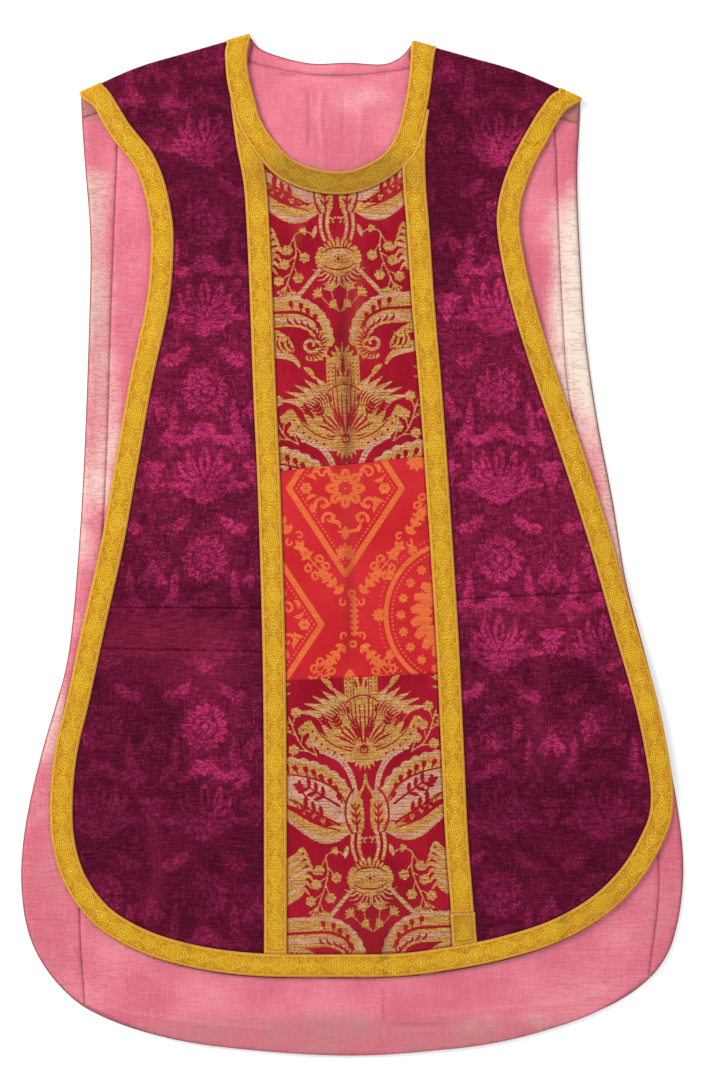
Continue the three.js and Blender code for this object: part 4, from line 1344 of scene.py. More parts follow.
def damask_material(name, is_shell=False):
    """Two purples woven as figure and ground. The shell's upper side is its wrong side, with the
    lining's turnings on it, and shows only as a thin line round the lining and in its seams."""
    material, w = new_cloth(name, "damask")
    place = w.carried("cloth")
    height, weft, warp = w.use(THREADS, Place=place, Pitch=1.1)
    blotch, fleck = w.use(MOTTLE, Place=place, Size=58.0)
    vivid = w.math("MULTIPLY_ADD", w.math("SUBTRACT", blotch, 0.5), 0.5, w.carried("vivid"))
    mask = woven_mask(w, place, 3.4, 1.0)
    ground = w.mix(blotch, paint(60, 3, 24), paint(96, 8, 40))
    ground = w.mix(w.between(weft, 0.42, 0.68, 0.0, 0.8), ground, paint(122, 20, 56))
    ground = w.mix(w.math("MULTIPLY", w.between(vivid, 0.2, 1.1), 0.42), ground, paint(154, 28, 68))
    grain = w.between(w.noise(place, (1.7, 1.3), 2), 0.4, 0.62)
    ground = w.mix(w.math("MULTIPLY", grain, 0.45), ground, paint(54, 3, 24))
    light = w.mix(blotch, paint(172, 32, 84), paint(216, 54, 122))
    light = w.mix(w.between(weft, 0.45, 0.7, 0.0, 0.7), light, paint(120, 16, 58))
    share = w.math("MULTIPLY", mask, w.between(fleck, 0.0, 0.8, 0.3, 1.0))
    share = w.math("MULTIPLY", share, w.between(vivid, 0.0, 1.0, 0.22, 1.0))
    colour = w.mix(share, ground, light)
    # Fine bright lines on the crushed silk and along the warp's streaks: wear, with a painted highlight on
    # the ridges.
    flat_lines, upright_lines = w.use(CRINKLE, Place=w.scaled(place, (0.42, 0.42)))
    wear_and_highlight = w.math("MAXIMUM", flat_lines, upright_lines)
    wear_and_highlight = w.math("MAXIMUM", wear_and_highlight, w.math("MULTIPLY", w.between(warp, 0.5, 0.66), 0.6))
    wear_and_highlight = w.math("MULTIPLY", wear_and_highlight, w.between(fleck, 0.1, 1.0, 0.25, 1.0))
    wear_and_highlight = w.math("MULTIPLY", wear_and_highlight, w.between(vivid, 0.0, 1.0, 0.25, 0.7))
    wear_and_highlight = w.math("MULTIPLY", wear_and_highlight, w.between(mask, 0.0, 1.0, 0.7, 1.0))
    colour = w.mix(wear_and_highlight, colour, paint(220, 70, 124))
    shade = w.between(w.noise(place, (9.0, 5.5), 3), 0.55, 0.36, 0.0, 0.5)
    colour = w.mix(shade, colour, paint(70, 4, 34))
    worn = w.mix(w.between(weft, 0.4, 0.66), paint(106, 18, 44), paint(150, 40, 62))
    worn = w.mix(w.between(warp, 0.5, 0.7, 0.0, 0.6), worn, paint(128, 22, 62))
    bare = w.math("MULTIPLY", w.carried("faded"), w.between(fleck, 0.0, 1.0, 0.95, 0.55))
    colour = w.mix(bare, colour, worn)
    # painted shade in the creases, painted highlight on their ridges, and painted shadow beside the braids
    colour = painted_shading(w, colour, paint(60, 6, 24), paint(160, 44, 84), paint(58, 8, 26))
    edge = w.carried("edge")
    colour = w.mix(w.between(edge, 1.3, 0.5, 0.0, 0.35), colour, paint(60, 6, 28))
    if is_shell:
        turning = w.mix(w.between(edge, 1.2, 0.3), paint(202, 114, 120), paint(120, 62, 56))
        colour = w.mix(w.carried("upper"), colour, turning)
    relief = w.math("MULTIPLY_ADD", mask, 1.6, w.math("MULTIPLY", height, 0.35))
    relief = w.math("MULTIPLY_ADD", weft, 2.2, relief)
    return coloured(material, w, colour, relief, 0.1 * MM, w.between(mask, 0, 1, 0.66, 0.48))


def brocade_material():
    material, w = new_cloth("brocade", "brocade")
    place = w.carried("cloth")
    pitch = 1.5
    weft, warp = w.use(THREADS, Place=place, Pitch=pitch)[1:]
    blotch, fleck = w.use(MOTTLE, Place=place, Size=70.0)
    mask = woven_mask(w, place, 1.5, 0.3)
    kept = w.between(w.noise(place, (2.4, 1.2), 3), 0.36, 0.46, 0.2, 1.0)
    mask = w.math("MULTIPLY", mask, kept)
    pale = w.math("ADD", w.carried("silver"), 0.5)
    silver = w.use(FRAY, Place=place, Figure=pale, Lines=FAR, Rough=2.6, Soft=0.7)[0]
    ground = w.mix(blotch, paint(148, 14, 34), paint(176, 24, 46))
    ground = w.mix(w.between(warp, 0.45, 0.7, 0.0, 0.6), ground, paint(130, 10, 30))
    gold = w.mix(w.between(weft, 0.35, 0.6), paint(160, 106, 48), paint(216, 172, 92))
    gold = w.mix(w.between(fleck, 0.5, 1.0, 0.0, 0.5), gold, paint(180, 92, 54))
    pale = w.mix(w.between(weft, 0.35, 0.6), paint(172, 104, 88), paint(218, 180, 152))
    metal = w.mix(w.math("MULTIPLY", silver, 0.85), gold, pale)
    colour = w.mix(mask, ground, metal)
    colour = w.mix(w.math("MULTIPLY", w.carried("faded"), 0.35), colour, paint(140, 66, 50))
    # painted shade in the creases, painted highlight on their ridges, and painted shadow beside the braids
    colour = painted_shading(w, colour, paint(84, 8, 22), paint(206, 120, 84), paint(80, 8, 22))
    rib = w.math("SINE", w.math("MULTIPLY", w.parts(place)[1], 2 * math.pi / pitch))
    relief = w.math("MULTIPLY", mask, w.math("MULTIPLY_ADD", rib, 0.6, 2.4))
    relief = w.math("MULTIPLY_ADD", weft, 1.4, relief)
    return coloured(material, w, colour, relief, 0.1 * MM, w.between(mask, 0, 1, 0.6, 0.42))


def silk_material():
    material, w = new_cloth("silk", "silk")
    place = w.carried("cloth")
    height, weft = w.use(THREADS, Place=place, Pitch=1.2)[:2]
    blotch, fleck = w.use(MOTTLE, Place=place, Size=80.0)
    mask = woven_mask(w, place, 0.8, 0.35)
    ground = w.mix(blotch, paint(200, 34, 42), paint(216, 48, 54))
    ground = w.mix(w.between(weft, 0.4, 0.7, 0.0, 0.5), ground, paint(188, 30, 40))
    orange = w.mix(w.between(weft, 0.35, 0.65), paint(218, 92, 50), paint(236, 124, 64))
    colour = w.mix(w.math("MULTIPLY", mask, w.between(fleck, 0.0, 0.5, 0.85, 1.0)), ground, orange)
    colour = w.mix(w.math("MULTIPLY", w.carried("faded"), 0.3), colour, paint(186, 76, 64))
    # painted shade in the creases, painted highlight on their ridges, and painted shadow beside the braids
    colour = painted_shading(w, colour, paint(140, 16, 28), paint(232, 110, 90), paint(116, 16, 28))
    relief = w.math("MULTIPLY_ADD", mask, 1.2, w.math("MULTIPLY", height, 0.3))
    relief = w.math("MULTIPLY_ADD", weft, 1.2, relief)
    return coloured(material, w, colour, relief, 0.1 * MM, w.between(mask, 0, 1, 0.55, 0.46))


def galloon_material(name, soiled):
    """Woven gold braid; soiled is how brown its ground has gone."""
    material, w = new_cloth(name, "galloon", 0.5)
    strip = w.carried("strip")
    height, weft = w.use(THREADS, Place=strip, Pitch=1.9)[:2]
    blotch, fleck = w.use(MOTTLE, Place=strip, Size=34.0)
    edge = w.carried("edge")
    ground = w.mix(w.between(weft, 0.35, 0.65), paint(208, 144, 28), paint(232, 176, 46))
    ground = w.mix(w.math("MULTIPLY", blotch, 0.4), ground, paint(200, 130, 40))
    ground = w.mix(w.between(fleck, 0.7, 1.0, 0.0, 0.5), ground, paint(146, 92, 22))
    rail = w.math("MULTIPLY", w.between(edge, 1.0, 1.5), w.between(edge, 3.2, 2.6))
    colour = w.mix(w.math("MULTIPLY", rail, 0.55), ground, paint(232, 186, 54))
    groove = w.math("MULTIPLY", w.between(edge, 2.9, 3.4), w.between(edge, 4.4, 3.9))
    colour = w.mix(w.math("MULTIPLY", groove, 0.5), colour, paint(156, 98, 24))
    colour = w.mix(w.between(edge, 1.25, 0.7, 0.0, 0.8), colour, paint(228, 158, 86))
    dirt = w.math("MULTIPLY_ADD", w.math("MULTIPLY", blotch, 0.3), soiled, soiled)
    dirt = w.math("MAXIMUM", dirt, w.carried("faded"))
    inner = w.between(edge, 1.2, 2.2)
    colour = w.mix(w.math("MULTIPLY", dirt, inner), colour, paint(146, 102, 40))
    # painted shade in the creases and painted highlight on their ridges
    colour = painted_shading(w, colour, paint(120, 74, 20), paint(236, 190, 80))
    relief = w.math("MULTIPLY_ADD", rail, 2.5, w.math("MULTIPLY", height, 0.9))
    return coloured(material, w, colour, relief, 0.12 * MM)


def lining_material():
    material, w = new_cloth("lining", "lining", 0.85)
    place = w.carried("cloth")
    height, weft, warp = w.use(THREADS, Place=place, Pitch=1.4)
    blotch, fleck = w.use(MOTTLE, Place=place, Size=75.0)
    across, along = w.use(SLUB, Place=place)
    colour = w.mix(blotch, paint(224, 112, 132), paint(248, 140, 156))
    colour = w.mix(w.between(weft, 0.4, 0.7, 0.0, 0.6), colour, paint(222, 108, 130))
    colour = w.mix(w.between(warp, 0.5, 0.75, 0.0, 0.5), colour, paint(246, 160, 176))
    colour = w.mix(w.math("MULTIPLY", across, 0.5), colour, paint(252, 184, 192))
    colour = w.mix(w.math("MULTIPLY", along, 0.4), colour, paint(206, 98, 122))
    colour = w.mix(w.between(fleck, 0.55, 1.0, 0.0, 0.3), colour, paint(208, 104, 118))
    pale = w.math("MULTIPLY_ADD", w.math("SUBTRACT", blotch, 0.5), 0.4, w.carried("faded"))
    pale = w.math("MULTIPLY_ADD", w.math("SUBTRACT", fleck, 0.5), 0.2, pale)
    colour = w.mix(w.between(pale, 0.1, 1.0), colour, paint(252, 231, 212))
    # browner where the lining is soiled, and painted shade by the shoulders and along creases there
    soil_and_shade = w.math("MULTIPLY_ADD", w.math("SUBTRACT", blotch, 0.5), 0.3, w.carried("soiled"))
    colour = w.mix(w.between(soil_and_shade, 0.05, 1.0, 0.0, 0.9), colour, paint(170, 122, 110))
    # painted shade in the creases and painted highlight on their ridges
    colour = painted_shading(w, colour, paint(150, 84, 88), paint(252, 206, 204))
    # Painted shade along fine crinkles, most of it on the lining's sides; the crinkles are also given as a
    # bump.
    cross_lines, long_lines = w.use(CRINKLE, Place=place)
    crinkled = w.between(w.math("ABSOLUTE", w.parts(place)[0]), 150, 250, 0.15, 1.0)
    cross = w.math("MULTIPLY", cross_lines, crinkled)
    cross = w.math("MULTIPLY_ADD", long_lines, 0.16, cross)
    colour = w.mix(w.math("MULTIPLY", cross, 0.34), colour, paint(180, 112, 108))
    colour = w.mix(w.between(w.carried("edge"), 1.6, 0.4, 0.0, 0.25), colour, paint(150, 84, 82))
    relief = w.math("MULTIPLY_ADD", across, 1.5, w.math("MULTIPLY", height, 0.35))
    relief = w.math("MULTIPLY_ADD", along, 1.2, relief)
    relief = w.math("MULTIPLY_ADD", cross, -4.0, relief)
    return coloured(material, w, colour, relief, 0.1 * MM)


def thread_material(name, slot, light, dark):
    material, w = new_cloth(name, slot, 0.45)
    place = w.carried("cloth")
    blotch = w.use(MOTTLE, Place=place, Size=20.0)[0]
    colour = w.mix(blotch, dark, light)
    colour = w.mix(w.math("MULTIPLY", w.carried("faded"), 0.75), colour, paint(170, 124, 44))
    return coloured(material, w, colour, blotch, 0.05 * MM)


def floor_material():
    material = bpy.data.materials.new("floor")
    material.use_nodes = True
    shader = material.node_tree.nodes["Principled BSDF"]
    shader.inputs["Base Color"].default_value = (0.93, 0.93, 0.935, 1.0)
    shader.inputs["Emission Color"].default_value = (1.0, 1.0, 1.0, 1.0)
    shader.inputs["Emission Strength"].default_value = 0.26
    shader.inputs["Roughness"].default_value = 0.9
    shader.inputs["Specular IOR Level"].default_value = 0.1
    return material


# ---- Braids --------------------------------------------------------------------------------------


class Strip:
    """A braid as it came from the loom: its middle line, and the places along and across it."""

    STEP = 1.0 * MM

    def __init__(self, ring, ends):
        runs = self.runs_between(ring, ends)
        outer, inner = (self.even(run) for run in runs)
        inner = inner[::-1]
        near = tree_of(inner)
        facing = np.array([near.find((x, y, 0))[0][:2] for x, y in outer])
        self.width = float(np.median(np.hypot(*(facing - outer).T)))
        middle = (outer + facing) / 2
        for _ in range(6):
            middle[1:-1] = (middle[:-2] + 2 * middle[1:-1] + middle[2:]) / 4
        self.middle = self.even(middle)
        self.way = unit(np.gradient(self.middle, axis=0))
        self.length = self.STEP * (len(self.middle) - 1)

    def runs_between(self, ring, ends):
        """The two long sides of the ring: its longest runs of points that are not at an end."""
        start = int(np.argmax(ends))
        ring, ends = np.roll(ring, -start, 0), np.roll(ends, -start)
        runs, run = [], []
        for point, at_end in zip(ring, ends):
            if at_end:
                runs.append(run)
                run = []
            else:
                run.append(point)
        runs = sorted([*runs, run], key=len, reverse=True)[:2]
        return [np.array(r) for r in runs]

    def even(self, line):
        return points_at(line, np.arange(0, run_of(line)[-1], self.STEP))

    def along_and_across(self, points):
        """How far along the braid each point is, and how far to the left of its middle."""
        near = tree_of(self.middle)
        index = np.array([near.find((x, y, 0))[1] for x, y in points])
        away = points - self.middle[index]
        way = self.way[index]
        along = index * self.STEP + np.sum(away * way, axis=1)
        return along, way[:, 0] * away[:, 1] - way[:, 1] * away[:, 0]

    def place(self, along, across):
        """The points at these distances, and which way the braid runs there."""
        at = np.clip(np.asarray(along) / self.STEP, 0, len(self.middle) - 1.001)
        i = at.astype(int)
        u = (at - i)[:, None]
        point = self.middle[i] * (1 - u) + self.middle[i + 1] * u
        way = self.way[i]
        return point + square_to(way) * np.asarray(across)[:, None], way


def at_folds(ring):
    """The points where a front braid ends, on the underside of the shoulder folds."""
    return past_crease(ring)[0] > FOLD_LENGTH - 0.6 * MM


def at_creases(ring):
    """The points where a back braid ends, at the shoulder creases."""
    return past_crease(ring)[0] > -1.5 * MM


def at_short_sides(ring):
    """The points of an upright braid's short sides, where its outline runs across."""
    run = np.abs(np.roll(ring, -1, 0) - np.roll(ring, 1, 0))
    return run[:, 1] < 0.8 * np.hypot(*run.T)


def grains(name, places, ways, size, layer, lift, material):
    """Short raised threads, each a long grain that comes up out of the cloth and goes in again. Their
    length, width and height are in mm."""
    length, width, height = (v * MM for v in size)
    side = square_to(ways)
    points = np.stack(
        [
            places - ways * length / 2,
            places - side * width / 2,
            places + ways * length / 2,
            places + side * width / 2,
            places,
            places,
        ],
        axis=1,
    ).reshape(-1, 2)
    lifts = np.tile([0.0, 0.4 * height, 0.0, 0.4 * height, height, -0.3 * MM], len(places)) + lift
    shape = np.array([(0, 1, 4), (1, 2, 4), (2, 3, 4), (3, 0, 4), (1, 0, 5), (2, 1, 5), (3, 2, 5), (0, 3, 5)])
    faces = (shape[None] + 6 * np.arange(len(places))[:, None, None]).reshape(-1, 3)
    piece = make_mesh(name, layer.place(points, lifts), faces.tolist(), material)
    set_values(piece, "cloth", np.column_stack([points / MM, np.zeros(len(points))]))
    set_values(piece, "faded", spots(GRIMY_BRAID)(points))
    finish(piece, None)
    return piece


MOTIF = 58.0  # the length of braid after which its figure comes again, in mm
MOTIF_WIDTH = 24  # the width of braid that the figure is laid out for, in mm
# The length, width and height of each kind of thread, in mm.
FLOAT_SIZE = (3.7, 1.2, 0.4)
EDGE_STITCH_SIZE = (1.9, 0.5, 0.28)
SEAM_STITCH_SIZE = (2.0, 0.4, 0.22)
PATCH_STITCH_SIZE = (1.8, 0.5, 0.3)


def lozenge_threads(middle, length, width, step):
    """The threads round a lozenge: where each lies along and across, and how it slants."""
    made = []
    for up in (-1, 1):
        for right in (-1, 1):
            a, b = np.array((middle, up * width / 2)), np.array((middle + right * length / 2, 0.0))
            count = max(2, round(float(np.hypot(*(b - a))) / step))
            for k in range(count):
                made.append((*(a + (b - a) * (k + 0.5) / count), -up * right * width / length))
    return made


def motif_threads():
    """One motif: lozenges inside one another, and a smaller one halfway to the next."""
    threads = lozenge_threads(0, 38, 17.5, 2.8) + lozenge_threads(0, 30, 13.2, 2.8)
    threads += lozenge_threads(0, 20, 8.4, 2.6) + lozenge_threads(29, 18, 10.5, 2.7)
    threads += lozenge_threads(0, 9, 4.0, 2.4) + lozenge_threads(29, 10, 5.4, 2.6)
    threads += [(0, 0, 0.0), (29, -1, 0.0), (29, 1, 0.0), (29, 0, 0.0)]
    for across in (-7.2, 7.2):
        for right in (-1, 1):
            slant = -right * math.copysign(0.5, across)
            threads += [(29 + right * 11.5, across, slant), (29 + right * 7.5, across * 1.12, slant)]
    return np.array(threads)


def braid_figure(name, strip, layer, lift, material):
    """The yellow threads that float over the braid and make its row of lozenges."""
    threads = motif_threads()
    repeats = np.arange(0.5, strip.length / MM / MOTIF + 0.5)
    along = (repeats[:, None] * MOTIF + threads[None, :, 0]).ravel()
    across = np.tile(threads[:, 1], len(repeats)) * strip.width / (MOTIF_WIDTH * MM)
    slant = np.tile(threads[:, 2], len(repeats))
    kept = (along > 2) & (along < strip.length / MM - 2)
    along, across, slant = along[kept], across[kept], slant[kept]
    places, ways = strip.place(along * MM, across * MM)
    ways = unit(ways + square_to(ways) * slant[:, None])
    return grains(name, places, ways, FLOAT_SIZE, layer, lift, material)


def edge_stitches(name, strip, layer, lift, material):
    """The small slanting stitches that hold a braid down along both its edges."""
    along = np.arange(3 * MM, strip.length - 3 * MM, 4.8 * MM)
    along = along + 0.9 * MM * np.sin(along / MM * 2.39)
    across = strip.width / 2 - 0.9 * MM
    places, ways = strip.place(np.tile(along, 2), np.repeat([-across, across], len(along)))
    slants = 0.55 * square_to(ways) * np.sin(np.arange(len(ways)) * 1.7)[:, None]
    return grains(name, places, unit(ways + slants), EDGE_STITCH_SIZE, layer, lift, material)


def running_stitches(name, line, layer, lift, material, size, spacing):
    """Stitches along a seam that is given by its points in mm."""
    stops = spaced(line, spacing) * MM
    middles = (stops[1:] + stops[:-1]) / 2
    return grains(name, middles, unit(np.diff(stops, axis=0)), size, layer, lift, material)


# ---- The layers, from the top down ---------------------------------------------------------------
# Each crease is a line through points in mm, how far it rises or falls, and how wide it is.

FRONT_CREASES = [
    ([(-6, 338), (-9, 240), (-4, 150), (-8, 40)], -0.75, 9),
    ([(8, 330), (5, 250), (9, 170)], 0.55, 12),
    ([(-5, 30), (-2, -60), (-7, -146)], -0.6, 8),
    ([(-24, 210), (-20, 120), (-26, 30)], 0.4, 14),
    ([(-158, -88), (-128, -70), (-97, -51)], -0.7, 3.2),
    ([(-162, -98), (-132, -80), (-104, -62)], 0.45, 5),
    ([(-236, -180), (-200, -188), (-160, -176)], -0.5, 6),
    ([(-245, 60), (-210, 72), (-176, 66)], 0.5, 9),
    ([(-150, 330), (-168, 250), (-160, 180)], -0.5, 10),
    ([(-196, 300), (-206, 230), (-190, 150)], 0.5, 13),
    ([(-220, -260), (-206, -340), (-214, -420)], 0.5, 12),
    ([(-178, -290), (-170, -380), (-180, -470)], -0.5, 9),
    ([(150, 320), (162, 260), (150, 170)], 0.5, 12),
    ([(188, 250), (180, 160), (192, 70)], -0.55, 9),
    ([(206, -90), (196, -180), (208, -260)], 0.5, 13),
    ([(152, -120), (164, -220), (150, -300)], -0.45, 10),
    ([(236, -330), (222, -420), (230, -486)], -0.5, 8),
    ([(60, 400), (40, 372), (30, 330)], 0.4, 10),
    ([(-70, 392), (-56, 350), (-60, 300)], 0.4, 11),
    ([(40, -380), (34, -440), (46, -500)], -0.5, 8),
    ([(-40, -400), (-48, -460), (-40, -515)], 0.45, 10),
    ([(-246, 424), (-241, 416), (-236, 420)], -0.6, 2.0),
    ([(180, 428), (190, 424), (202, 426)], -0.6, 2.0),
    ([(-276, -440), (-264, -452), (-250, -448)], -0.5, 2.4),
    ([(270, -300), (284, -296), (296, -302)], -0.45, 2.2),
]

LINING_CREASES = [
    ([(-309, -330), (-300, -420), (-262, -484), (-192, -500), (-97, -510), (-20, -506)], 0.5, 3),
    ([(30, -500), (93, -497), (170, -488), (231, -482), (277, -464), (311, -413)], 0.5, 3),
    ([(34, -461), (33, -490), (35, -512)], -0.8, 1.8),
    ([(28, -509), (70, -507), (125, -510)], -0.6, 1.7),
    ([(28, -515), (76, -514), (124, -516)], 0.5, 1.8),
    ([(34, -534), (32, -528), (35, -522)], -0.6, 1.4),
    ([(-48, 492), (-46, 450), (-49, 408)], -0.7, 2.4),
    ([(-33, 494), (-35, 448), (-30, 405)], 0.7, 3.0),
    ([(-12, 492), (-10, 452), (-13, 402)], -0.6, 2.2),
    ([(6, 490), (8, 446), (4, 404)], 0.6, 3.0),
    ([(-106, 500), (-50, 497), (10, 496), (52, 500)], -0.7, 1.8),
    ([(246, 408), (262, 404), (280, 408), (296, 402)], -0.7, 2.0),
    ([(236, 370), (256, 367), (276, 371), (300, 364)], -0.8, 2.2),
    ([(250, 340), (272, 344), (296, 338)], 0.6, 3.0),
    ([(-300, 374), (-284, 370), (-262, 376)], -0.6, 2.0),
    ([(-312, 310), (-290, 316), (-268, 312)], 0.6, 2.6),
    ([(-318, 214), (-298, 210), (-276, 216)], -0.6, 2.0),
    ([(-322, 96), (-304, 100), (-284, 94)], 0.5, 2.6),
    ([(-330, -20), (-312, -24), (-296, -20)], -0.5, 2.2),
    ([(-334, -150), (-316, -146), (-300, -152)], 0.5, 2.6),
    ([(-336, -262), (-322, -266), (-306, -260)], -0.5, 2.0),
    ([(268, 150), (284, 154), (304, 148)], -0.5, 2.2),
    ([(276, 40), (296, 36), (318, 42)], 0.5, 2.8),
    ([(284, -84), (302, -80), (322, -86)], -0.5, 2.2),
    ([(290, -204), (310, -208), (330, -202)], 0.5, 2.6),
    ([(296, -318), (314, -314), (334, -320)], -0.5, 2.0),
    ([(-210, -508), (-206, -524), (-211, -536)], -0.5, 1.8),
    ([(196, -496), (199, -514), (194, -528)], 0.5, 2.2),
]

SIDES = [
    "front_side_left_upper",
    "front_side_left_middle",
    "front_side_left_lower",
    "front_side_right_upper",
    "front_side_right_lower",
]
BROCADES = ["column_brocade_upper", "column_brocade_lower"]
LININGS = [
    "back_lining_centre",
    "back_lining_left",
    "back_lining_right",
    "back_neck_facing",
    "shoulder_lining_left",
    "shoulder_lining_right",
]
FRONT_BRAIDS = {
    "edge_galloon": at_folds,
    "neck_galloon": at_folds,
    "column_galloon_left": at_short_sides,
    "column_galloon_right": at_short_sides,
    "column_galloon_right_patch": at_short_sides,
}
BACK_BRAIDS = {"back_edge_galloon": at_creases, "back_neck_galloon": at_creases}
# How high the faces of the back's braids and shell lie, how far a front braid's face lies above the
# cloth's, and how far its figure and its stitches are sunk into it.
BACK_BRAID_LEVEL = 0.9 * MM
SHELL_LEVEL = 2.2 * MM
BRAID_TOP = 1.2 * MM
FIGURE_SINK = 0.05 * MM
STITCH_SINK = 0.08 * MM


class Level:
    """A layer that lies quite flat, at one height."""

    is_folded = False

    def __init__(self, level):
        self.level = level

    def relief(self, points):
        return np.zeros(len(points))

    def place(self, points, lift):
        return np.column_stack([points, self.level + np.broadcast_to(lift, len(points))])


FRONT_CLOTHS = [*SIDES, *BROCADES, "column_silk_middle"]
front = Layer(FRONT_CLOTHS, FRONT_CREASES, True)
lining = Layer(LININGS, LINING_CREASES, False)


# ---- Values that the cloth carries ---------------------------------------------------------------
# Spots are places in mm, their half sizes and how strong they are.

FADED_LINING = [
    ((268, 250), (60, 140), 1.0),
    ((300, 60), (40, 110), 0.55),
    ((310, -120), (30, 120), 0.25),
    ((-286, 300), (34, 120), 0.62),
    ((-268, 140), (24, 120), 0.5),
    ((-306, 100), (34, 170), 0.6),
    ((-322, -180), (26, 160), 0.35),
    ((-286, 420), (20, 40), 0.35),
    ((120, -505), (110, 12), 0.2),
    ((40, 470), (60, 20), 0.2),
]
# Darker, browner spots on the lining. Most are soil, at the hem, down the sides and at the shoulder tips; the
# two at y 462 are painted shadow inside the shoulder folds, and the two narrow ones at y 398 and 366 are
# painted shade along the creases there.
SOILED_AND_SHADED_LINING = [
    ((-262, 462), (44, 16), 0.75),
    ((236, 462), (44, 16), 0.75),
    ((0, -522), (380, 26), 0.45),
    ((-330, -400), (30, 120), 0.3),
    ((330, -380), (20, 100), 0.25),
    ((286, 398), (40, 9), 0.45),
    ((276, 366), (44, 8), 0.5),
    ((-20, 402), (100, 9), 0.35),
    ((250, 425), (30, 20), 0.4),
    ((-284, 270), (36, 170), 0.42),
    ((-276, 425), (22, 18), 0.35),
]
VIVID_DAMASK = [
    ((-168, 150), (110, 150), 0.85),
    ((-140, -190), (58, 76), 0.6),
    ((-160, 10), (100, 60), 0.6),
    ((170, 190), (90, 120), 1.05),
    ((190, 10), (110, 130), 1.15),
    ((210, -170), (110, 80), 0.4),
    ((-190, 440), (60, 40), 0.35),
    ((170, 400), (50, 60), 0.3),
]
FADED_DAMASK = [((-190, -98), (70, 26), 0.9), ((-150, -130), (60, 20), 0.5), ((180, -74), (70, 14), 0.4)]
FADED_COLUMN = [((-4, 120), (10, 220), 0.5), ((-60, 380), (60, 20), 0.5), ((30, -420), (70, 60), 0.3)]
GRIMY_BRAID = [
    ((-18, 394), (86, 34), 0.7),
    ((96, -520), (26, 60), 0.25),
    ((-264, 300), (30, 60), 0.2),
    ((280, -420), (40, 80), 0.2),
]


def spots(marks):
    """A function that says how strongly the nearest spots mark each point."""

    def strength(points):
        total = np.zeros(len(points))
        for centre, radii, peak in marks:
            away = np.hypot(*((points / MM - centre) / radii).T)
            total = np.maximum(total, peak * ease(1.5 - away))
        return total

    return strength


def damask_values(drawings):
    """The damask's figure, which comes again in both directions and is cut alike for both sides."""

    def read(drawing, points):
        x = (np.abs(points[:, 0]) / MM - DAMASK_START[0]) / DAMASK_SCALE % DAMASK_TILE[0]
        y = (points[:, 1] / MM - DAMASK_START[1]) / DAMASK_SCALE % DAMASK_TILE[1]
        return drawing.at(x, y) * DAMASK_SCALE

    figure, lines = drawings
    return {
        "figure": lambda points: read(figure, points),
        "lines": lambda points: read(lines, points),
        "vivid": spots(VIVID_DAMASK),
        "faded": spots(FADED_DAMASK),
        "to_braid": to_braid,
    }


def along_axis(points, foot, above):
    """Places from the foot of a palmette: across the axis without its sign, and up along it."""
    way = np.subtract(above, foot) / math.dist(above, foot)
    away = points / MM - foot
    return np.abs(away[:, 0] * way[1] - away[:, 1] * way[0]), away @ way


# The axis of each brocade: the foot of a palmette, and a place above it on the axis, in mm.
BROCADE_AXES = {
    "column_brocade_upper": ((-5.3, 86.2), (-14.4, 302.6)),
    "column_brocade_lower": ((14.1, -242.7), (8.7, -132.0)),
}


def brocade_values(drawings, axis):
    figure, lines, silver = drawings

    def read(drawing, points):
        across, up = along_axis(points, *axis)
        turns_of_it = (drawing.at(across, up + k * BROCADE_REPEAT) for k in (-1, 0, 1))
        return np.minimum.reduce(list(turns_of_it))

    return {
        "figure": lambda points: read(figure, points),
        "lines": lambda points: read(lines, points),
        "silver": lambda points: read(silver, points),
        "faded": spots(FADED_COLUMN),
        "to_braid": to_braid,
    }


def silk_values(drawings):
    figure, lines = drawings
    return {
        "figure": lambda points: figure.at(*points.T / MM),
        "lines": lambda points: lines.at(*points.T / MM),
        "faded": spots(FADED_COLUMN),
        "to_braid": to_braid,
    }


braid_rings = {node: smoothed(flat_rim(node, True), BRAID_PITCH) for node in FRONT_BRAIDS}


def to_braid(points):
    """How far it is to the nearest edge of a braid, in mm and never more than FAR."""
    nearest_one = np.full(len(points), FAR)
    reach = FAR * MM
    for ring in braid_rings.values():
        close = np.all((points > ring.min(0) - reach) & (points < ring.max(0) + reach), axis=1)
        if close.any():
            nearest_one[close] = np.minimum(nearest_one[close], from_edge(points[close], ring) / MM)
    return nearest_one


# ---- The pieces ----------------------------------------------------------------------------------


def cut_of(node, is_folded):
    """The width and length of the cloth that a piece is cut from, and the area of its cut."""
    ring = flat_rim(node, is_folded)
    boxes = []
    for angle in np.radians(range(0, 90, 2)):
        turned = ring @ np.array([(math.cos(angle), math.sin(angle)), (-math.sin(angle), math.cos(angle))])
        boxes.append(sorted(float(v) for v in turned.max(0) - turned.min(0)))
    return tuple(min(boxes, key=math.prod)), abs(area_of(ring))


def make_front_cloth(node, material, pitch, values):
    piece = make_sheet(f"{node}_cloth", node, front, material, pitch, 0.0, FRONT_THICKNESS, drawings=values)
    size, area = cut_of(node, True)


def make_cloths(materials):
    values = damask_values(damask())
    for node in SIDES:
        make_front_cloth(node, materials["damask"], DAMASK_PITCH, values)
    drawings = brocade()
    for node in BROCADES:
        values = brocade_values(drawings, BROCADE_AXES[node])
        make_front_cloth(node, materials["brocade"], FIGURED_PITCH, values)
    make_front_cloth("column_silk_middle", materials["silk"], FIGURED_PITCH, silk_values(silk()))


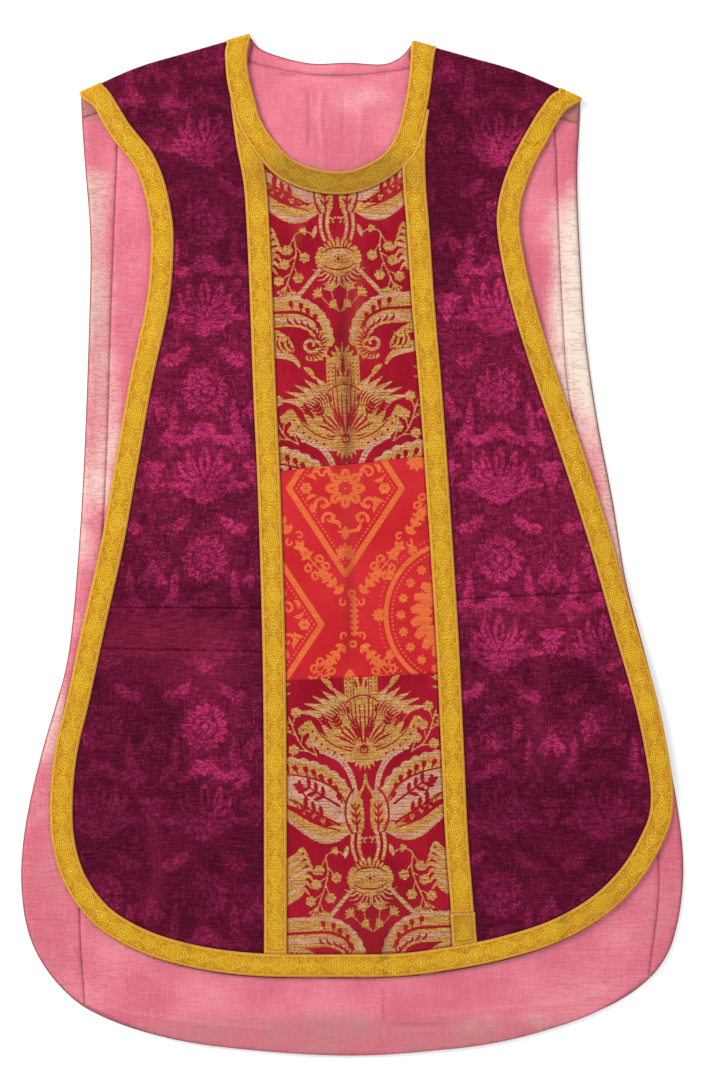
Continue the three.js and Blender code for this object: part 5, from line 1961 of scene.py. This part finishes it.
def make_linings(materials):
    # soiled carries soil and painted shade alike
    values = {"faded": spots(FADED_LINING), "soiled": spots(SOILED_AND_SHADED_LINING)}
    for node in LININGS:
        piece = make_sheet(
            f"{node}_cloth",
            node,
            lining,
            materials["lining"],
            LINING_PITCH,
            0.0,
            LINING_THICKNESS,
            drawings=values,
            coarse=front.covers,
        )
        size, area = cut_of(node, False)


def make_shell(materials):
    """The outside of the back, which is plain: its figure and braids are given as far away."""
    values = {name: lambda points: np.full(len(points), FAR) for name in ("figure", "lines", "to_braid")}
    piece = make_sheet(
        "back_shell_cloth",
        "back_shell",
        Level(SHELL_LEVEL),
        materials["shell"],
        SHELL_PITCH,
        0.0,
        SHELL_THICKNESS,
        drawings=values,
        coarse=lining.covers,
    )
    size, area = cut_of("back_shell", False)


def make_braid(node, ends, layer, top, materials, is_plain=False):
    """A braid with its figure and stitches: the sheet of it, and the pieces on it."""
    ring = smoothed(flat_rim(node, layer.is_folded), BRAID_PITCH)
    strip = Strip(ring, ends(ring))

    def strip_place(points):
        along, across = strip.along_and_across(points)
        return np.column_stack([across / MM, along / MM, np.zeros(len(points))])

    values = {"strip": strip_place, "faded": spots(GRIMY_BRAID)}
    material = materials["patch"] if node.endswith("patch") else materials["galloon"]
    pitch = PLAIN_BRAID_PITCH if is_plain else BRAID_PITCH
    piece = make_sheet(f"{node}_braid", node, layer, material, pitch, top, BRAID_THICKNESS, drawings=values)
    if not is_plain:
        figure = braid_figure(f"{node}_figure", strip, layer, top - FIGURE_SINK, materials["thread"])
        stitches = edge_stitches(f"{node}_stitches", strip, layer, top - STITCH_SINK, materials["sewing"])


# In mm: how far a seam's stitches keep from its ends, how far above the lower piece's edge they lie,
# and how much lower than that the stitches of the patch are.
SEAM_INSET = 3
SEAM_RISE = 1.6
PATCH_SEAM_DROP = 3.2


def top_seam(node, is_folded):
    """The seam along a piece's upper edge, from its left end to its right end, in mm."""
    ring = flat_rim(node, is_folded) / MM
    left = ring[np.argmax(ring[:, 1] - ring[:, 0])]
    right = ring[np.argmax(ring[:, 1] + ring[:, 0])]
    return [left + (SEAM_INSET, SEAM_RISE), right + (-SEAM_INSET, SEAM_RISE)]


SEAMED = {
    "front_side_left_middle": "purple_thread",
    "front_side_left_lower": "purple_thread",
    "front_side_right_lower": "purple_thread",
    "column_silk_middle": "red_thread",
    "column_brocade_lower": "red_thread",
}
LINING_SEAMS = {
    "lining_seam_right_inner": [(227, 212), (231, 150), (233, 132)],
    "lining_seam_right_outer": [(232, 214), (236, 150), (238, 130)],
    "neck_facing_seam": [(-104, 512), (-86, 503), (-42, 495), (10, 495), (54, 503)],
    "hem_seam_left": [(-322, -330), (-306, -400), (-268, -462), (-200, -500)],
}


def make_seams(materials):
    """The stitches of the seams, and of the patch's end on the right column braid."""
    for node, thread in SEAMED.items():
        line = top_seam(node, True)
        running_stitches(f"{node}_seam", line, front, 0.0, materials[thread], SEAM_STITCH_SIZE, 4.6)
    for name, line in LINING_SEAMS.items():
        line = curve(line, 5 * len(line))
        running_stitches(name, line, lining, 0.0, materials["pink_thread"], SEAM_STITCH_SIZE, 4.2)
    line = np.subtract(top_seam("column_galloon_right_patch", False), (0, PATCH_SEAM_DROP))
    thread = materials["red_thread"]
    running_stitches("patch_seam", line, front, BRAID_TOP, thread, PATCH_STITCH_SIZE, 3.1)


FLOOR_REACH = 30  # how far the floor runs to each side, in metres
FLOOR_LEVEL = -0.3 * MM


def make_floor(material):
    signs = ((-1, -1), (1, -1), (1, 1), (-1, 1))
    corners = [(x * FLOOR_REACH, y * FLOOR_REACH, FLOOR_LEVEL) for x, y in signs]
    make_mesh("floor", corners, [(0, 1, 2, 3)], material)


# Each light's name, its place, its size in metres and its power in watts.
LIGHTS = (("window", (-2.1, 1.6, 1.9), 1.3, 60), ("reflector", (1.8, -1.2, 2.6), 2.0, 8))


def make_lights():
    world = bpy.data.worlds.new("white room")
    world.use_nodes = True
    wiring = Wiring(world.node_tree)
    sky = world.node_tree.nodes["Background"].inputs
    sky["Color"].default_value = (0.93, 0.94, 0.96, 1.0)
    seen = world.node_tree.nodes.new("ShaderNodeLightPath").outputs["Is Camera Ray"]
    wiring.feed(sky["Strength"], wiring.between(seen, 0.0, 1.0, 0.7, 1.02))
    bpy.context.scene.world = world
    for name, place, size, power in LIGHTS:
        data = bpy.data.lights.new(name, "AREA")
        data.size = size
        data.energy = power
        light = bpy.data.objects.new(name, data)
        light.location = place
        light.rotation_euler = Vector(place).to_track_quat("Z", "Y").to_euler()
        bpy.context.scene.collection.objects.link(light)


def main():
    materials = {
        "damask": damask_material("damask"),
        "shell": damask_material("damask_shell", is_shell=True),
        "brocade": brocade_material(),
        "silk": silk_material(),
        "galloon": galloon_material("galloon", 0.06),
        "patch": galloon_material("galloon_patch", 0.3),
        "lining": lining_material(),
        "thread": thread_material("galloon_thread", "galloon", paint(252, 220, 66), paint(244, 200, 48)),
        "sewing": thread_material("sewing_thread", "galloon", paint(224, 176, 92), paint(196, 138, 60)),
        "purple_thread": thread_material("purple_thread", "damask", paint(104, 24, 54), paint(74, 10, 38)),
        "red_thread": thread_material("red_thread", "brocade", paint(170, 70, 50), paint(130, 34, 38)),
        "pink_thread": thread_material("pink_thread", "lining", paint(190, 84, 112), paint(160, 66, 92)),
    }
    make_floor(floor_material())
    for node, ends in BACK_BRAIDS.items():
        make_braid(node, ends, Level(BACK_BRAID_LEVEL), 0.0, materials, is_plain=True)
    make_shell(materials)
    make_linings(materials)
    make_cloths(materials)
    for node, ends in FRONT_BRAIDS.items():
        make_braid(node, ends, front, BRAID_TOP, materials)
    make_seams(materials)
    make_camera()
    make_lights()
    bpy.context.scene.view_settings.view_transform = "Standard"


main()
